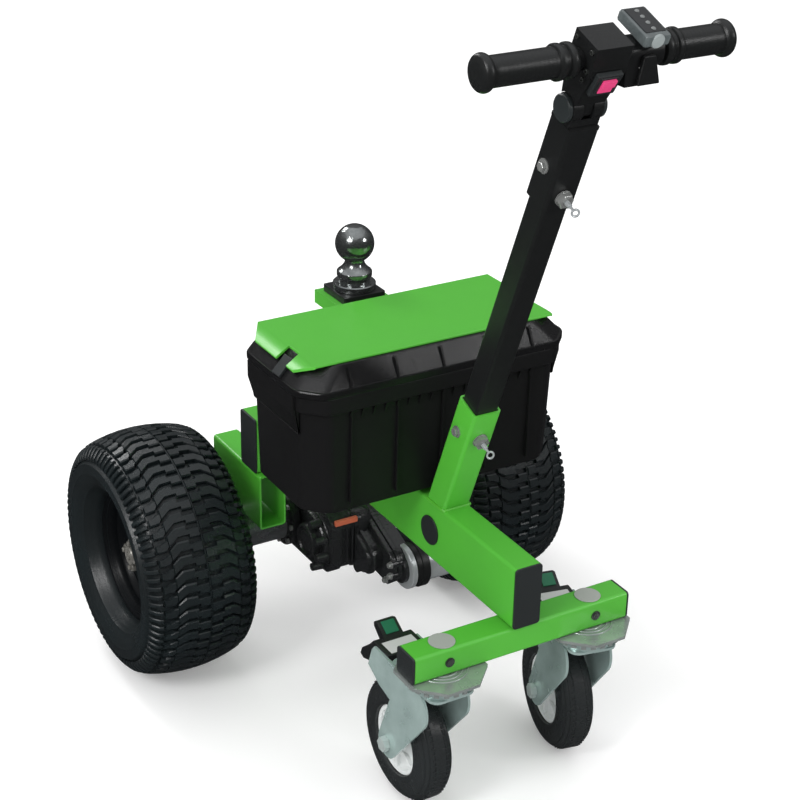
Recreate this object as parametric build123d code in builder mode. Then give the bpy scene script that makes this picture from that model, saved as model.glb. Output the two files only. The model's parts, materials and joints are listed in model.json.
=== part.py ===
from build123d import *
import os
from math import cos, radians, sin

os.makedirs("parts", exist_ok=True)

# Electric trailer dolly: two driven turf tyres at the tow ball end, a box beam
# running forward to two swivel casters, and a leaning steering column with a
# handlebar. +Z is up, +X to the operator's right, and the operator walks on
# the -Y side. The origin lies on the floor under the middle of the machine.
# Places along the machine are given as distances ahead of the drive axle.

# Drive wheels
tyre_d = 338.0
tyre_w = 160.0
track = 495.0
bead_r = 84.0
bead_w = 84.0
tyre_bulge_share = 0.474
shoulder_angle = 55.0
rim_wall = 4.0
rim_lip = 7.0
dish_inset = 22.0
hub_r = 27.0
hub_face = 34.0
hub_nut_r = 5.5
hub_nut_h = 9.0
hub_nut_count = 4
shaft_r = 12.5

# Axle, gearcase and drive motor
axle_tube_r = 31.0
axle_flange_r = 42.0
axle_flange_t = 12.0
axle_tube_end = 158.0
bearing_l = 60.0
gearcase_left = 52.0
gearcase_right = 70.0
gearcase_behind = 50.0
gearcase_ahead = 112.0
gearcase_up = 44.0
gearcase_down = 47.0
gearcase_corner = 20.0
gear_cover_t = 12.0
gear_cap_r = 25.0
gear_cap_h = 10.0
gear_cap_ahead = 71.0
gear_cap_drop = 5.0
gear_lug_r = 9.0
gear_lug_w = 22.0
motor_r = 29.0
motor_ahead = 160.0
motor_drop = 29.0
motor_face = 54.0
motor_len = 96.0
motor_band_r = 33.0
motor_band_l = 13.0
motor_mount_l = 30.0
motor_boss_r = 9.0

# Frame of rectangular steel tube
beam_w = 38.0
beam_h = 82.0
tube_wall = 3.0
beam_base_z = 259.0
front_reach = 514.0
cross_l = 302.0
cross_h = 36.0
rear_tube_ahead = 62.0
rear_tube_d = 45.0
rear_tube_h = 80.0
rear_tube_l = 255.0
rear_tube_drop = 60.0
rail_w = 39.0
rail_reach = 72.0
rail_outer = 130.0
cap_t = 3.0
cap_plug_l = 14.0
cap_fit = 0.15
side_plug_r = 17.0
side_plug_ahead = 327.0
side_plug_t = 2.5

# Ball receiver, post and tow ball
receiver_w = 64.0
receiver_wall = 6.0
receiver_h = 188.0
collar_w = 76.0
collar_h = 18.0
post_w = 50.0
post_down = 120.0
post_plate_w = 60.0
post_plate_t = 10.0
ball_d = 50.8
ball_z = 600.0
ball_neck_r = 12.5
ball_ring_r = 23.0
ball_ring_h = 7.0
ball_nut_r = 20.0
ball_nut_h = 8.0
ball_base_r = 28.0
ball_base_h = 9.0
ball_flat_r = 9.0
pin_r = 7.0
pin_drop = 30.0
pin_ring_r = 12.0
pin_ring_wire_r = 2.0

# Battery box
box_w = 366.0
box_d = 174.0
box_ahead = 141.0
box_foot_h = 8.0
box_foot_w = 24.0
box_foot_d = 30.0
box_h = 159.0
box_wall = 4.0
box_taper = 4.0
box_corner_x = 26.0
box_corner_y = 27.0
band_out = 5.0
band_h = 22.0
ledge_out = 9.0
ledge_h = 30.0
ledge_l = 120.0
lid_w = 384.0
lid_d = 182.0
lid_rim_h = 9.0
lid_top_w = 332.0
lid_top_d = 156.0
lid_top_set = 3.0
lid_h = 35.0
lid_wall = 4.0
plate_d = 150.0
plate_t = 3.0
plate_flange = 21.0
plate_flange_angle = 56.0
plate_corner = 26.0
notch_w = 26.0
notch_ahead = 246.0
latch_t = 4.0
battery_gap_x = 36.0
battery_gap_y = 16.0
battery_h = 135.0

# Steering column
column_foot_ahead = 336.0
column_lean = 21.3
socket_w = 38.0
socket_l = 173.0
column_w = 31.6
column_wall = 2.5
slide_fit = 0.2
column_bottom = 75.0
column_top = 545.0
sleeve_w = 38.0
sleeve_bottom = 484.0
sleeve_top = 590.0
barrel_s = 607.0
barrel_r = 16.0
barrel_w = 38.0
barrel_foot_w = 28.0
tongue_w = 12.0
tongue_r = 12.5
pivot_pin_r = 5.0
pivot_cap_r = 15.0
pivot_cap_t = 5.0
running_fit = 0.05
face_gap = 0.3
clamp_nut_w = 17.0
clamp_nut_t = 8.0
clamp_screw_r = 4.0
clamp_screw_l = 22.0
clamp_wing_l = 30.0
clamp_wing_t = 6.0
socket_clamp_s = 128.0
sleeve_clamp_s = 500.0

# Handlebar
bar_s = 667.0
bar_r = 11.0
bar_left = 143.0
bar_right = 166.5
grip_r = 16.0
grip_flange_r = 20.0
grip_end_l = 15.0
grip_collar_r = 19.0
grip_collar_l = 20.0
grip_seat = 6.0
left_grip_l = 111.0
right_grip_l = 90.0
head_w = 44.0
head_front = 23.0
head_back = 17.0
head_top = 26.0
head_under = 8.0
neck_w = 38.0
neck_front = 18.0
neck_low = 30.0
saddle_angle = 40.0
rocker_w = 19.0
rocker_h = 14.0
rocker_d = 4.0
rocker_x = 3.0
switch_w = 36.0
switch_h = 22.0
switch_d = 6.0
throttle_body_r = 17.0
throttle_body_w = 44.0
throttle_x = 50.0
throttle_lug_w = 17.0
throttle_lug_l = 20.0
meter_x = 54.0
meter_w = 32.0
meter_d = 52.0
meter_h = 13.0
meter_back = 6.0
thumb_lever_top = 14.0
thumb_lever_end = 28.0
thumb_lever_l = 30.0
thumb_lever_t = 6.0

# Casters
caster_spread = 104.4
caster_tyre_d = 160.0
caster_tyre_w = 45.0
caster_tread_r = 18.0
caster_rim_r = 46.0
caster_hub_w = 34.0
caster_boss_r = 13.0
caster_trail = 69.0
wheel_gap = 5.0
fork_t = 3.5
fork_top_drop = 22.0
fork_boss_r = 20.0
fork_lobe_r = 30.0
fork_lobe_back = 10.0
fork_corner_r = 13.0
octagon_w = 104.0
octagon_t = 4.0
race_r = 36.0
lock_ring_r = 46.0
lock_ring_t = 3.0
lock_ring_h = 9.0
lock_teeth = 24
kingpin_r = 8.0
caster_bolt_r = 6.0
caster_bolt_head_r = 10.0
caster_bolt_head_t = 8.0
stem_plug_r = 15.0
pedal_h = 37.0
pedal_gap = 6.0
pedal_tab_w = 28.0
pedal_start = 75.0
pedal_reach = 144.0

# Places that follow from the sizes above
axle_z = tyre_d / 2
beam_top = beam_base_z + beam_h
beam_mid_z = beam_base_z + beam_h / 2
column_angle = radians(column_lean)
bar_ahead = column_foot_ahead + bar_s * sin(column_angle)
head_reach = head_front * cos(column_angle) + head_top * sin(column_angle)
machine_reach = bar_ahead + head_reach
axle_y = (machine_reach - tyre_d / 2) / 2
front_face_y = axle_y - front_reach
cross_y = front_face_y + beam_w / 2
cross_mid_z = beam_base_z - cross_h / 2
cross_base_z = beam_base_z - cross_h
rear_tube_y = axle_y - rear_tube_ahead
rear_tube_base = beam_top - rear_tube_drop
rear_tube_mid_z = rear_tube_base + rear_tube_h / 2
rail_base_z = axle_z + axle_tube_r
rail_h = rear_tube_base - rail_base_z
receiver_y = rear_tube_y - receiver_w / 2
receiver_top = beam_top + receiver_h
box_y = axle_y - box_ahead - box_d / 2
caster_axle_z = caster_tyre_d / 2
leg_inner = caster_tyre_w / 2 + wheel_gap
leg_outer = leg_inner + fork_t
pedal_w = 2 * leg_inner
octagon_base = cross_base_z - octagon_t
pedal_base = caster_tyre_d + pedal_gap
fork_top = cross_base_z - fork_top_drop
gearcase_top = axle_z + gearcase_up
gearcase_bottom = axle_z - gearcase_down
motor_z = axle_z - motor_drop
box_base = beam_top + box_foot_h
box_top = box_base + box_h
lid_base = box_top + face_gap
lid_top = lid_base + lid_h
plate_w = lid_top_w + 2 * face_gap
battery_w = box_w - 2 * (box_wall + box_taper + battery_gap_x)
battery_d = box_d - 2 * (box_wall + box_taper + battery_gap_y)


def facing_operator(y, z, x=0):
    """Plane with X to the right and Z up, looking out towards the operator."""
    return Plane(origin=(x, y, z), x_dir=(1, 0, 0), z_dir=(0, -1, 0))


def facing_right(x, y=0, z=0):
    """Plane with Y to the right and Z up, looking out to the machine's right."""
    return Plane(origin=(x, y, z), x_dir=(0, 1, 0), z_dir=(1, 0, 0))


def on_column(distance, x=0, forward=0):
    """Plane across the steering column, a distance up it from the beam top."""
    y = axle_y - column_foot_ahead - distance * sin(column_angle) - forward * cos(column_angle)
    z = beam_top + distance * cos(column_angle) - forward * sin(column_angle)
    lean = (0, -sin(column_angle), cos(column_angle))
    return Plane(origin=(x, y, z), x_dir=(1, 0, 0), z_dir=lean)


def column_side(x, distance):
    """Plane facing right at one height on the column, its Y along the column."""
    across = on_column(distance, x)
    return Plane(origin=across.origin, x_dir=across.y_dir, z_dir=(1, 0, 0))


def tube_section(width, height, wall):
    """Square or rectangular tube with rounded corners."""
    RectangleRounded(width, height, wall * 3 / 2)
    RectangleRounded(width - 2 * wall, height - 2 * wall, wall / 2, mode=Mode.SUBTRACT)


def save(piece, name):
    """Label one finished piece and write it to its own file."""
    piece.part.label = name
    export_step(piece.part, f"parts/{name}.step")


# Main beam: rectangular tube on edge, from the casters back to the rear tube
beam_l = front_reach - rear_tube_ahead
with BuildPart() as main_beam:
    with BuildSketch(facing_operator(rear_tube_y, beam_mid_z)):
        tube_section(beam_w, beam_h, tube_wall)
    extrude(amount=beam_l)
    with BuildSketch(facing_right(0, axle_y - side_plug_ahead, beam_mid_z)):
        Circle(side_plug_r)
    extrude(amount=beam_w, both=True, mode=Mode.SUBTRACT)
save(main_beam, "main_beam")

# Black plastic cap pushed into the beam's front end
with BuildPart() as main_beam_cap:
    with BuildSketch(facing_operator(front_face_y, beam_mid_z)):
        RectangleRounded(beam_w, beam_h, tube_wall * 3 / 2)
    extrude(amount=cap_t)
    with BuildSketch(facing_operator(front_face_y, beam_mid_z)):
        plug_margin = 2 * (tube_wall + cap_fit)
        RectangleRounded(beam_w - plug_margin, beam_h - plug_margin, tube_wall / 2)
    extrude(amount=-cap_plug_l)
save(main_beam_cap, "main_beam_cap")

# Round black plugs closing the cross hole under the column socket
with BuildPart() as beam_side_plugs:
    for side in (-1, 1):
        with BuildSketch(facing_right(side * beam_w / 2, axle_y - side_plug_ahead, beam_mid_z)):
            Circle(side_plug_r + side_plug_t)
        extrude(amount=side * side_plug_t)
        with BuildSketch(facing_right(side * beam_w / 2, axle_y - side_plug_ahead, beam_mid_z)):
            Circle(side_plug_r - cap_fit)
        extrude(amount=-side * 2 * tube_wall)
save(beam_side_plugs, "beam_side_plugs")

# Front cross beam that carries the two casters
with BuildPart() as cross_beam:
    with BuildSketch(facing_right(-cross_l / 2, cross_y, cross_mid_z)):
        tube_section(beam_w, cross_h, tube_wall)
    extrude(amount=cross_l)
    with BuildSketch(Plane.XY.offset(cross_mid_z)):
        with Locations((-caster_spread, cross_y), (caster_spread, cross_y)):
            Circle(stem_plug_r)
    extrude(amount=cross_h, mode=Mode.SUBTRACT)
save(cross_beam, "cross_beam")

with BuildPart() as cross_beam_caps:
    for side in (-1, 1):
        with BuildSketch(facing_right(side * cross_l / 2, cross_y, cross_mid_z)):
            RectangleRounded(beam_w, cross_h, tube_wall * 3 / 2)
        extrude(amount=side * cap_t)
        with BuildSketch(facing_right(side * cross_l / 2, cross_y, cross_mid_z)):
            RectangleRounded(beam_w - plug_margin, cross_h - plug_margin, tube_wall / 2)
        extrude(amount=-side * cap_plug_l)
save(cross_beam_caps, "cross_beam_caps")

# Grey plastic plugs over the caster stems
with BuildPart() as stem_plugs:
    with BuildSketch(Plane.XY.offset(beam_base_z)):
        with Locations((-caster_spread, cross_y), (caster_spread, cross_y)):
            Circle(stem_plug_r + side_plug_t / 2)
    extrude(amount=side_plug_t / 2)
    with BuildSketch(Plane.XY.offset(beam_base_z)):
        with Locations((-caster_spread, cross_y), (caster_spread, cross_y)):
            Circle(stem_plug_r - cap_fit)
    extrude(amount=-2 * tube_wall)
save(stem_plugs, "stem_plugs")

# Rear cross tube, with its open ends capped
with BuildPart() as rear_cross_tube:
    with BuildSketch(facing_right(-rear_tube_l / 2, rear_tube_y + rear_tube_d / 2, rear_tube_mid_z)):
        tube_section(rear_tube_d, rear_tube_h, tube_wall)
    extrude(amount=rear_tube_l)
save(rear_cross_tube, "rear_cross_tube")

with BuildPart() as rear_tube_caps:
    for side in (-1, 1):
        with BuildSketch(
            facing_right(side * rear_tube_l / 2, rear_tube_y + rear_tube_d / 2, rear_tube_mid_z)
        ):
            RectangleRounded(rear_tube_d, rear_tube_h, tube_wall * 3 / 2)
        extrude(amount=side * cap_t)
        with BuildSketch(
            facing_right(side * rear_tube_l / 2, rear_tube_y + rear_tube_d / 2, rear_tube_mid_z)
        ):
            RectangleRounded(rear_tube_d - plug_margin, rear_tube_h - plug_margin, tube_wall / 2)
        extrude(amount=-side * cap_plug_l)
save(rear_tube_caps, "rear_tube_caps")

# Short open rails under the rear tube, sitting on the axle tubes
with BuildPart() as axle_rails:
    for side in (-1, 1):
        with BuildSketch(
            facing_operator(axle_y + rail_reach, rail_base_z + rail_h / 2, side * (rail_outer - rail_w / 2))
        ):
            tube_section(rail_w, rail_h, tube_wall)
        extrude(amount=2 * rail_reach)
save(axle_rails, "axle_rails")

# Receiver: square socket for the ball post, with a stiffening collar
with BuildPart() as receiver_tube:
    with BuildSketch(Plane.XY.offset(beam_top)):
        with Locations((0, receiver_y)):
            tube_section(receiver_w, receiver_w, receiver_wall)
    extrude(amount=receiver_h)
    with BuildSketch(Plane.XY.offset(receiver_top)):
        with Locations((0, receiver_y)):
            Rectangle(collar_w, collar_w)
            Rectangle(receiver_w - receiver_wall, receiver_w - receiver_wall, mode=Mode.SUBTRACT)
    extrude(amount=-collar_h)
    with BuildSketch(facing_right(0, receiver_y, receiver_top - pin_drop)):
        Circle(pin_r + running_fit)
    extrude(amount=receiver_w, both=True, mode=Mode.SUBTRACT)
    with BuildSketch(Plane.XY.offset(receiver_top)):
        with Locations((0, receiver_y)):
            Rectangle(receiver_w - 2 * receiver_wall, receiver_w - 2 * receiver_wall)
    extrude(amount=-collar_h, mode=Mode.SUBTRACT)
save(receiver_tube, "receiver_tube")

# Black ball post with its top plate
with BuildPart() as ball_post:
    with BuildSketch(Plane.XY.offset(receiver_top)):
        with Locations((0, receiver_y)):
            Rectangle(post_w, post_w)
    extrude(amount=-post_down)
    with BuildSketch(Plane.XY.offset(receiver_top)):
        with Locations((0, receiver_y)):
            RectangleRounded(post_plate_w, post_plate_w, tube_wall)
    extrude(amount=post_plate_t)
    with BuildSketch(facing_right(0, receiver_y, receiver_top - pin_drop)):
        Circle(pin_r + running_fit)
    extrude(amount=receiver_w, both=True, mode=Mode.SUBTRACT)
save(ball_post, "ball_post")

# Chromed tow ball: base, wrench flats, ring and waist in one turned piece
ball_base_z = receiver_top + post_plate_t
ball_r = ball_d / 2
flat_drop = (ball_r**2 - ball_flat_r**2) ** 0.5
neck_drop = (ball_r**2 - ball_neck_r**2) ** 0.5
nut_z = ball_base_z + ball_base_h
ring_z = nut_z + ball_nut_h
with BuildPart() as tow_ball:
    with BuildSketch(facing_operator(receiver_y, 0)):
        with BuildLine():
            Polyline(
                (ball_neck_r, ball_z - neck_drop),
                (ball_ring_r, ring_z + ball_ring_h),
                (ball_ring_r, ring_z),
                (ball_nut_r, ring_z),
                (ball_nut_r, nut_z),
                (ball_base_r, nut_z),
                (ball_base_r, ball_base_z),
                (0, ball_base_z),
                (0, ball_z + flat_drop),
                (ball_flat_r, ball_z + flat_drop),
            )
            ThreePointArc(
                (ball_flat_r, ball_z + flat_drop),
                (ball_r, ball_z),
                (ball_neck_r, ball_z - neck_drop),
            )
        make_face()
    revolve(axis=Axis((0, receiver_y, 0), (0, 0, 1)))
save(tow_ball, "tow_ball")

# Cross pin through receiver and post, with its pull ring at the left
with BuildPart() as receiver_pin:
    with BuildSketch(facing_right(-collar_w / 2 - pin_r, receiver_y, receiver_top - pin_drop)):
        Circle(pin_r)
    extrude(amount=collar_w + 2 * pin_r)
    ring_x = -collar_w / 2 - pin_r - pin_ring_r
    with BuildSketch(facing_operator(receiver_y, receiver_top - pin_drop, ring_x)):
        with Locations((pin_ring_r, 0)):
            Circle(pin_ring_wire_r)
    revolve(axis=Axis((ring_x, receiver_y, receiver_top - pin_drop), (0, 0, 1)))
save(receiver_pin, "receiver_pin")


def cut_outline(width, depth):
    """Rectangular plan with its four corners cut on the slant."""
    x, y = width / 2, depth / 2
    Polygon(
        (x - box_corner_x, -y),
        (x, box_corner_y - y),
        (x, y - box_corner_y),
        (x - box_corner_x, y),
        (box_corner_x - x, y),
        (-x, y - box_corner_y),
        (-x, box_corner_y - y),
        (box_corner_x - x, -y),
        align=None,
    )


# Battery box: tapered open tub on two moulded runners, with a wider band under
# the lid and a lifting ledge on each end
box_y = axle_y - box_ahead - box_d / 2
with BuildPart() as battery_box:
    with BuildSketch(Plane.XY.offset(box_base)):
        with Locations((0, box_y)):
            cut_outline(box_w - 2 * box_taper, box_d - 2 * box_taper)
    with BuildSketch(Plane.XY.offset(box_top)):
        with Locations((0, box_y)):
            cut_outline(box_w, box_d)
    loft()
    with BuildSketch(Plane.XY.offset(box_top - band_h)):
        with Locations((0, box_y)):
            cut_outline(box_w + 2 * band_out, box_d + 2 * band_out)
    extrude(amount=band_h)
    for side in (-1, 1):
        with BuildSketch(facing_operator(box_y + ledge_l / 2, box_top, side * box_w / 2)):
            Polygon(
                (-side * box_wall, 0),
                (side * ledge_out, 0),
                (side * ledge_out, -band_h),
                (0, -band_h - ledge_h),
                (-side * box_wall, -band_h - ledge_h),
                align=None,
            )
        extrude(amount=ledge_l)
    with BuildSketch(Plane.XY.offset(box_base)):
        with Locations((0, box_y - box_d / 4), (0, box_y + box_d / 4)):
            Rectangle(box_foot_w, box_foot_d)
    extrude(amount=-box_foot_h)
    with BuildSketch(Plane.XY.offset(box_base + box_wall)):
        with Locations((0, box_y)):
            cut_outline(
                box_w - 2 * (box_taper + box_wall), box_d - 2 * (box_taper + box_wall)
            )
    with BuildSketch(Plane.XY.offset(box_top)):
        with Locations((0, box_y)):
            cut_outline(box_w - 2 * box_wall, box_d - 2 * box_wall)
    loft(mode=Mode.SUBTRACT)
save(battery_box, "battery_box")

# Battery standing in the tub
with BuildPart() as battery:
    with BuildSketch(Plane.XY.offset(box_base + box_wall)):
        with Locations((0, box_y)):
            RectangleRounded(battery_w, battery_d, box_wall)
    extrude(amount=battery_h)
save(battery, "battery")

# Lift-off lid: upright rim, sloping sides and a flat top, hollow beneath
lid_y = axle_y - box_ahead + lid_top_set - lid_d / 2
lid_top_y = lid_y + lid_top_set
rim_top = lid_base + lid_rim_h
with BuildPart() as battery_box_lid:
    with BuildSketch(Plane.XY.offset(lid_base)):
        with Locations((0, lid_y)):
            cut_outline(lid_w, lid_d)
    extrude(amount=lid_rim_h)
    with BuildSketch(Plane.XY.offset(rim_top)):
        with Locations((0, lid_y)):
            cut_outline(lid_w - lid_wall, lid_d - lid_wall)
    with BuildSketch(Plane.XY.offset(lid_top)):
        with Locations((0, lid_top_y)):
            cut_outline(lid_top_w, lid_top_d)
    loft()
    with BuildSketch(Plane.XY.offset(lid_base)):
        with Locations((0, lid_y)):
            cut_outline(lid_w - 3 * lid_wall, lid_d - 3 * lid_wall)
    with BuildSketch(Plane.XY.offset(lid_top - lid_wall)):
        with Locations((0, lid_top_y)):
            cut_outline(lid_top_w - 3 * lid_wall, lid_top_d - 3 * lid_wall)
    loft(mode=Mode.SUBTRACT)
save(battery_box_lid, "battery_box_lid")

# Green sheet cover on the lid, its two ends folded down and cut on the slant
flange_angle = radians(plate_flange_angle)
flange_out = plate_flange * sin(flange_angle)
flange_drop = plate_flange * cos(flange_angle)
notch_y = axle_y - notch_ahead
with BuildPart() as cover_plate:
    with BuildSketch(Plane.XY.offset(lid_top)):
        with Locations((0, lid_top_y)):
            Rectangle(plate_w, plate_d)
    extrude(amount=plate_t)
    for side in (-1, 1):
        with BuildSketch(facing_operator(lid_top_y + plate_d / 2, lid_top, side * plate_w / 2)):
            Polygon(
                (0, plate_t),
                (0, 0),
                (side * flange_out, -flange_drop),
                (side * (flange_out + plate_t / 2), plate_t - flange_drop),
                (side * plate_t / 2, plate_t),
                align=None,
            )
        extrude(amount=plate_d)
        for end in (-1, 1):
            with BuildSketch(Plane.XY.offset(lid_top - plate_flange)):
                with Locations((side * plate_w / 2, lid_top_y + end * plate_d / 2)):
                    Polygon(
                        (side * plate_t / 2, 0),
                        (side * 2 * plate_flange, -end * plate_corner * 2 * plate_flange / flange_out),
                        (side * 2 * plate_flange, end * plate_corner),
                        (side * plate_t / 2, end * plate_corner),
                        align=None,
                    )
            extrude(amount=plate_flange + 2 * plate_t, mode=Mode.SUBTRACT)
        with BuildSketch(Plane.XY.offset(lid_top - plate_flange)):
            with Locations((side * (plate_w / 2 + plate_flange), notch_y)):
                Rectangle(2 * plate_flange, notch_w)
        extrude(amount=plate_flange + 2 * plate_t, mode=Mode.SUBTRACT)
save(cover_plate, "cover_plate")

# Black catches that lie on the lid's slopes and show in the cover's notches
slope_out = (lid_w - lid_wall - lid_top_w) / 2
slope_drop = lid_h - lid_rim_h
slope_l = (slope_out**2 + slope_drop**2) ** 0.5
with BuildPart() as lid_latches:
    for side in (-1, 1):
        latch_plane = facing_operator(notch_y + notch_w / 2 - latch_t, lid_top, side * lid_top_w / 2)
        with BuildSketch(latch_plane):
            Polygon(
                (side * slope_out / 4, -slope_drop / 4),
                (side * slope_out, -slope_drop),
                (
                    side * (slope_out + latch_t * slope_drop / slope_l),
                    latch_t * slope_out / slope_l - slope_drop,
                ),
                (
                    side * (slope_out / 4 + latch_t * slope_drop / slope_l),
                    latch_t * slope_out / slope_l - slope_drop / 4,
                ),
                align=None,
            )
        extrude(amount=notch_w - 2 * latch_t)
save(lid_latches, "lid_latches")

# Gearcase: main casting, left cover with its bearing cap, motor mount and foot lug
with BuildPart() as gearcase:
    with BuildSketch(facing_right(gear_cover_t - gearcase_left, axle_y, 0)):
        with Locations(((gearcase_behind - gearcase_ahead) / 2, (gearcase_top + gearcase_bottom) / 2)):
            RectangleRounded(
                gearcase_ahead + gearcase_behind, gearcase_top - gearcase_bottom, gearcase_corner
            )
    extrude(amount=gearcase_left + motor_face - motor_mount_l - gear_cover_t)
    with BuildSketch(facing_right(motor_face - motor_mount_l, axle_y, axle_z)):
        Circle(axle_flange_r + tube_wall)
    extrude(amount=gearcase_right - motor_face + motor_mount_l)
    with BuildSketch(facing_right(-gearcase_left, axle_y, 0)):
        with Locations((0, axle_z)):
            Circle(gearcase_down - tube_wall)
        with Locations((-gear_cap_ahead, axle_z - gear_cap_drop)):
            Circle(gearcase_ahead - gear_cap_ahead - tube_wall)
        make_hull()
    extrude(amount=gear_cover_t)
    with BuildSketch(facing_right(-gearcase_left, axle_y - gear_cap_ahead, axle_z - gear_cap_drop)):
        Circle(gear_cap_r)
    extrude(amount=-gear_cap_h)
    with BuildSketch(facing_right(motor_face, axle_y, 0)):
        with Locations((-motor_ahead, motor_z)):
            Circle(motor_r - tube_wall)
        with Locations((-gear_cap_ahead, axle_z - gear_cap_drop)):
            Circle(gear_cap_r + gear_cap_h)
        make_hull()
    extrude(amount=-2 * motor_mount_l)
    with BuildSketch(facing_right(motor_face - motor_mount_l, axle_y, 0)):
        with Locations((gear_lug_r - gearcase_ahead, gearcase_bottom)):
            Circle(gear_lug_r)
    extrude(amount=-gear_lug_w)
    with BuildSketch(facing_right(-gearcase_left, axle_y, axle_z)):
        Circle(axle_tube_r)
    extrude(amount=gearcase_left + gearcase_right, mode=Mode.SUBTRACT)
save(gearcase, "gearcase")

# Axle tubes reaching out to the wheels, each with a bolting flange
with BuildPart() as axle_tubes:
    with BuildSketch(facing_right(-axle_tube_end, axle_y, axle_z)):
        Circle(axle_tube_r)
    extrude(amount=2 * axle_tube_end)
    for side, face in ((-1, gearcase_left), (1, gearcase_right)):
        with BuildSketch(facing_right(side * face, axle_y, axle_z)):
            Circle(axle_flange_r)
        extrude(amount=side * axle_flange_t)
        with BuildSketch(facing_right(side * axle_tube_end, axle_y, axle_z)):
            Circle(shaft_r + running_fit)
        extrude(amount=-side * bearing_l, mode=Mode.SUBTRACT)
save(axle_tubes, "axle_tubes")

# Silver drive motor lying across the machine, bolted to the mount, with a black
# band behind its bright flange
motor_y = axle_y - motor_ahead
with BuildPart() as drive_motor:
    with BuildSketch(facing_right(motor_face, motor_y, motor_z)):
        Circle(motor_r)
    extrude(amount=motor_len)
    with BuildSketch(facing_right(motor_face + tube_wall, motor_y, motor_z)):
        Circle(motor_band_r)
    extrude(amount=motor_band_l)
    with BuildSketch(facing_right(motor_face + motor_len, motor_y, motor_z)):
        Circle(motor_boss_r)
    extrude(amount=tube_wall)
save(drive_motor, "drive_motor")

# Column socket: square tube welded to the beam top at the column's lean
with BuildPart() as column_socket:
    with BuildSketch(on_column(-socket_w)):
        tube_section(socket_w, socket_w, (socket_w - column_w) / 2 - slide_fit)
    extrude(amount=socket_w + socket_l)
    split(bisect_by=Plane.XY.offset(beam_top), keep=Keep.TOP)
save(column_socket, "column_socket")


# Clamp screws on the operator's side: a nut, a screw and its wing each
for name, distance in (("socket_clamp", socket_clamp_s), ("sleeve_clamp", sleeve_clamp_s)):
    across = on_column(distance)
    front = Plane(
        origin=across.origin - across.y_dir * socket_w / 2, x_dir=(1, 0, 0), z_dir=-across.y_dir
    )
    with BuildPart() as clamp:
        with BuildSketch(front):
            RegularPolygon(clamp_nut_w / 2, 6)
        extrude(amount=clamp_nut_t)
        with BuildSketch(front.offset(clamp_nut_t)):
            Circle(clamp_screw_r)
        extrude(amount=clamp_screw_l - clamp_nut_t)
        with BuildSketch(front.offset(clamp_screw_l - clamp_wing_t / 2)):
            SlotOverall(clamp_wing_l, clamp_wing_t)
        extrude(amount=clamp_wing_t)
    save(clamp, name)

# Lower column: black square tube sliding in the socket
with BuildPart() as lower_column:
    with BuildSketch(on_column(column_bottom)):
        tube_section(column_w, column_w, column_wall)
    extrude(amount=column_top - column_bottom)
save(lower_column, "lower_column")

# Upper sleeve: larger black tube over the column, with the tilt knuckle on top
sleeve_inner = column_w + 2 * slide_fit
with BuildPart() as upper_sleeve:
    with BuildSketch(on_column(sleeve_bottom)):
        tube_section(sleeve_w, sleeve_w, (sleeve_w - sleeve_inner) / 2)
    extrude(amount=sleeve_top - sleeve_bottom)
    with BuildSketch(on_column(sleeve_top)):
        RectangleRounded(sleeve_w, sleeve_w, tube_wall)
    extrude(amount=-tube_wall)
save(upper_sleeve, "upper_sleeve")

# Knuckle barrel across the sleeve's top, slotted for the head's tongue
with BuildPart() as tilt_barrel:
    with BuildSketch(column_side(-barrel_w / 2, barrel_s)):
        Circle(barrel_r)
        with Locations((0, (sleeve_top - barrel_s) / 2)):
            Rectangle(barrel_foot_w, barrel_s - sleeve_top)
        Circle(pivot_pin_r, mode=Mode.SUBTRACT)
    extrude(amount=barrel_w)
    with BuildSketch(column_side(-tongue_w / 2 - face_gap, barrel_s)):
        with Locations((0, -tongue_r - face_gap)):
            Rectangle(3 * barrel_r, 3 * barrel_r, align=(Align.CENTER, Align.MIN))
    extrude(amount=tongue_w + 2 * face_gap, mode=Mode.SUBTRACT)
save(tilt_barrel, "tilt_barrel")

# Handle head: a tongue in the knuckle, a neck that saddles it and the bar clamp
bar_up = bar_s - barrel_s
saddle_r = barrel_r + 2 * face_gap
saddle_x = saddle_r * cos(radians(saddle_angle))
saddle_y = saddle_r * sin(radians(saddle_angle))
with BuildPart() as handle_head:
    with BuildSketch(column_side(-neck_w / 2, barrel_s)):
        with BuildLine():
            Polyline(
                (-saddle_x, saddle_y),
                (-neck_front, neck_low),
                (-head_front, bar_up - head_under),
                (-head_front, bar_up),
                (head_back, bar_up),
                (head_back, neck_low),
                (saddle_x, saddle_y),
            )
            ThreePointArc((saddle_x, saddle_y), (0, saddle_r), (-saddle_x, saddle_y))
        make_face()
    extrude(amount=neck_w)
    with BuildSketch(column_side(-head_w / 2, barrel_s)):
        with Locations(((head_back - head_front) / 2, bar_up + (head_top - head_under) / 2)):
            Rectangle(head_back + head_front, head_top + head_under)
    extrude(amount=head_w)
    with BuildSketch(column_side(-tongue_w / 2, barrel_s)):
        Circle(tongue_r)
        with Locations((0, neck_low / 2)):
            Rectangle(2 * tongue_r, neck_low)
    extrude(amount=tongue_w)
    with BuildSketch(column_side(-head_w / 2, barrel_s)):
        Circle(pivot_pin_r + running_fit)
        with Locations((0, bar_up)):
            Circle(bar_r)
    extrude(amount=head_w, mode=Mode.SUBTRACT)
save(handle_head, "handle_head")

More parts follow.
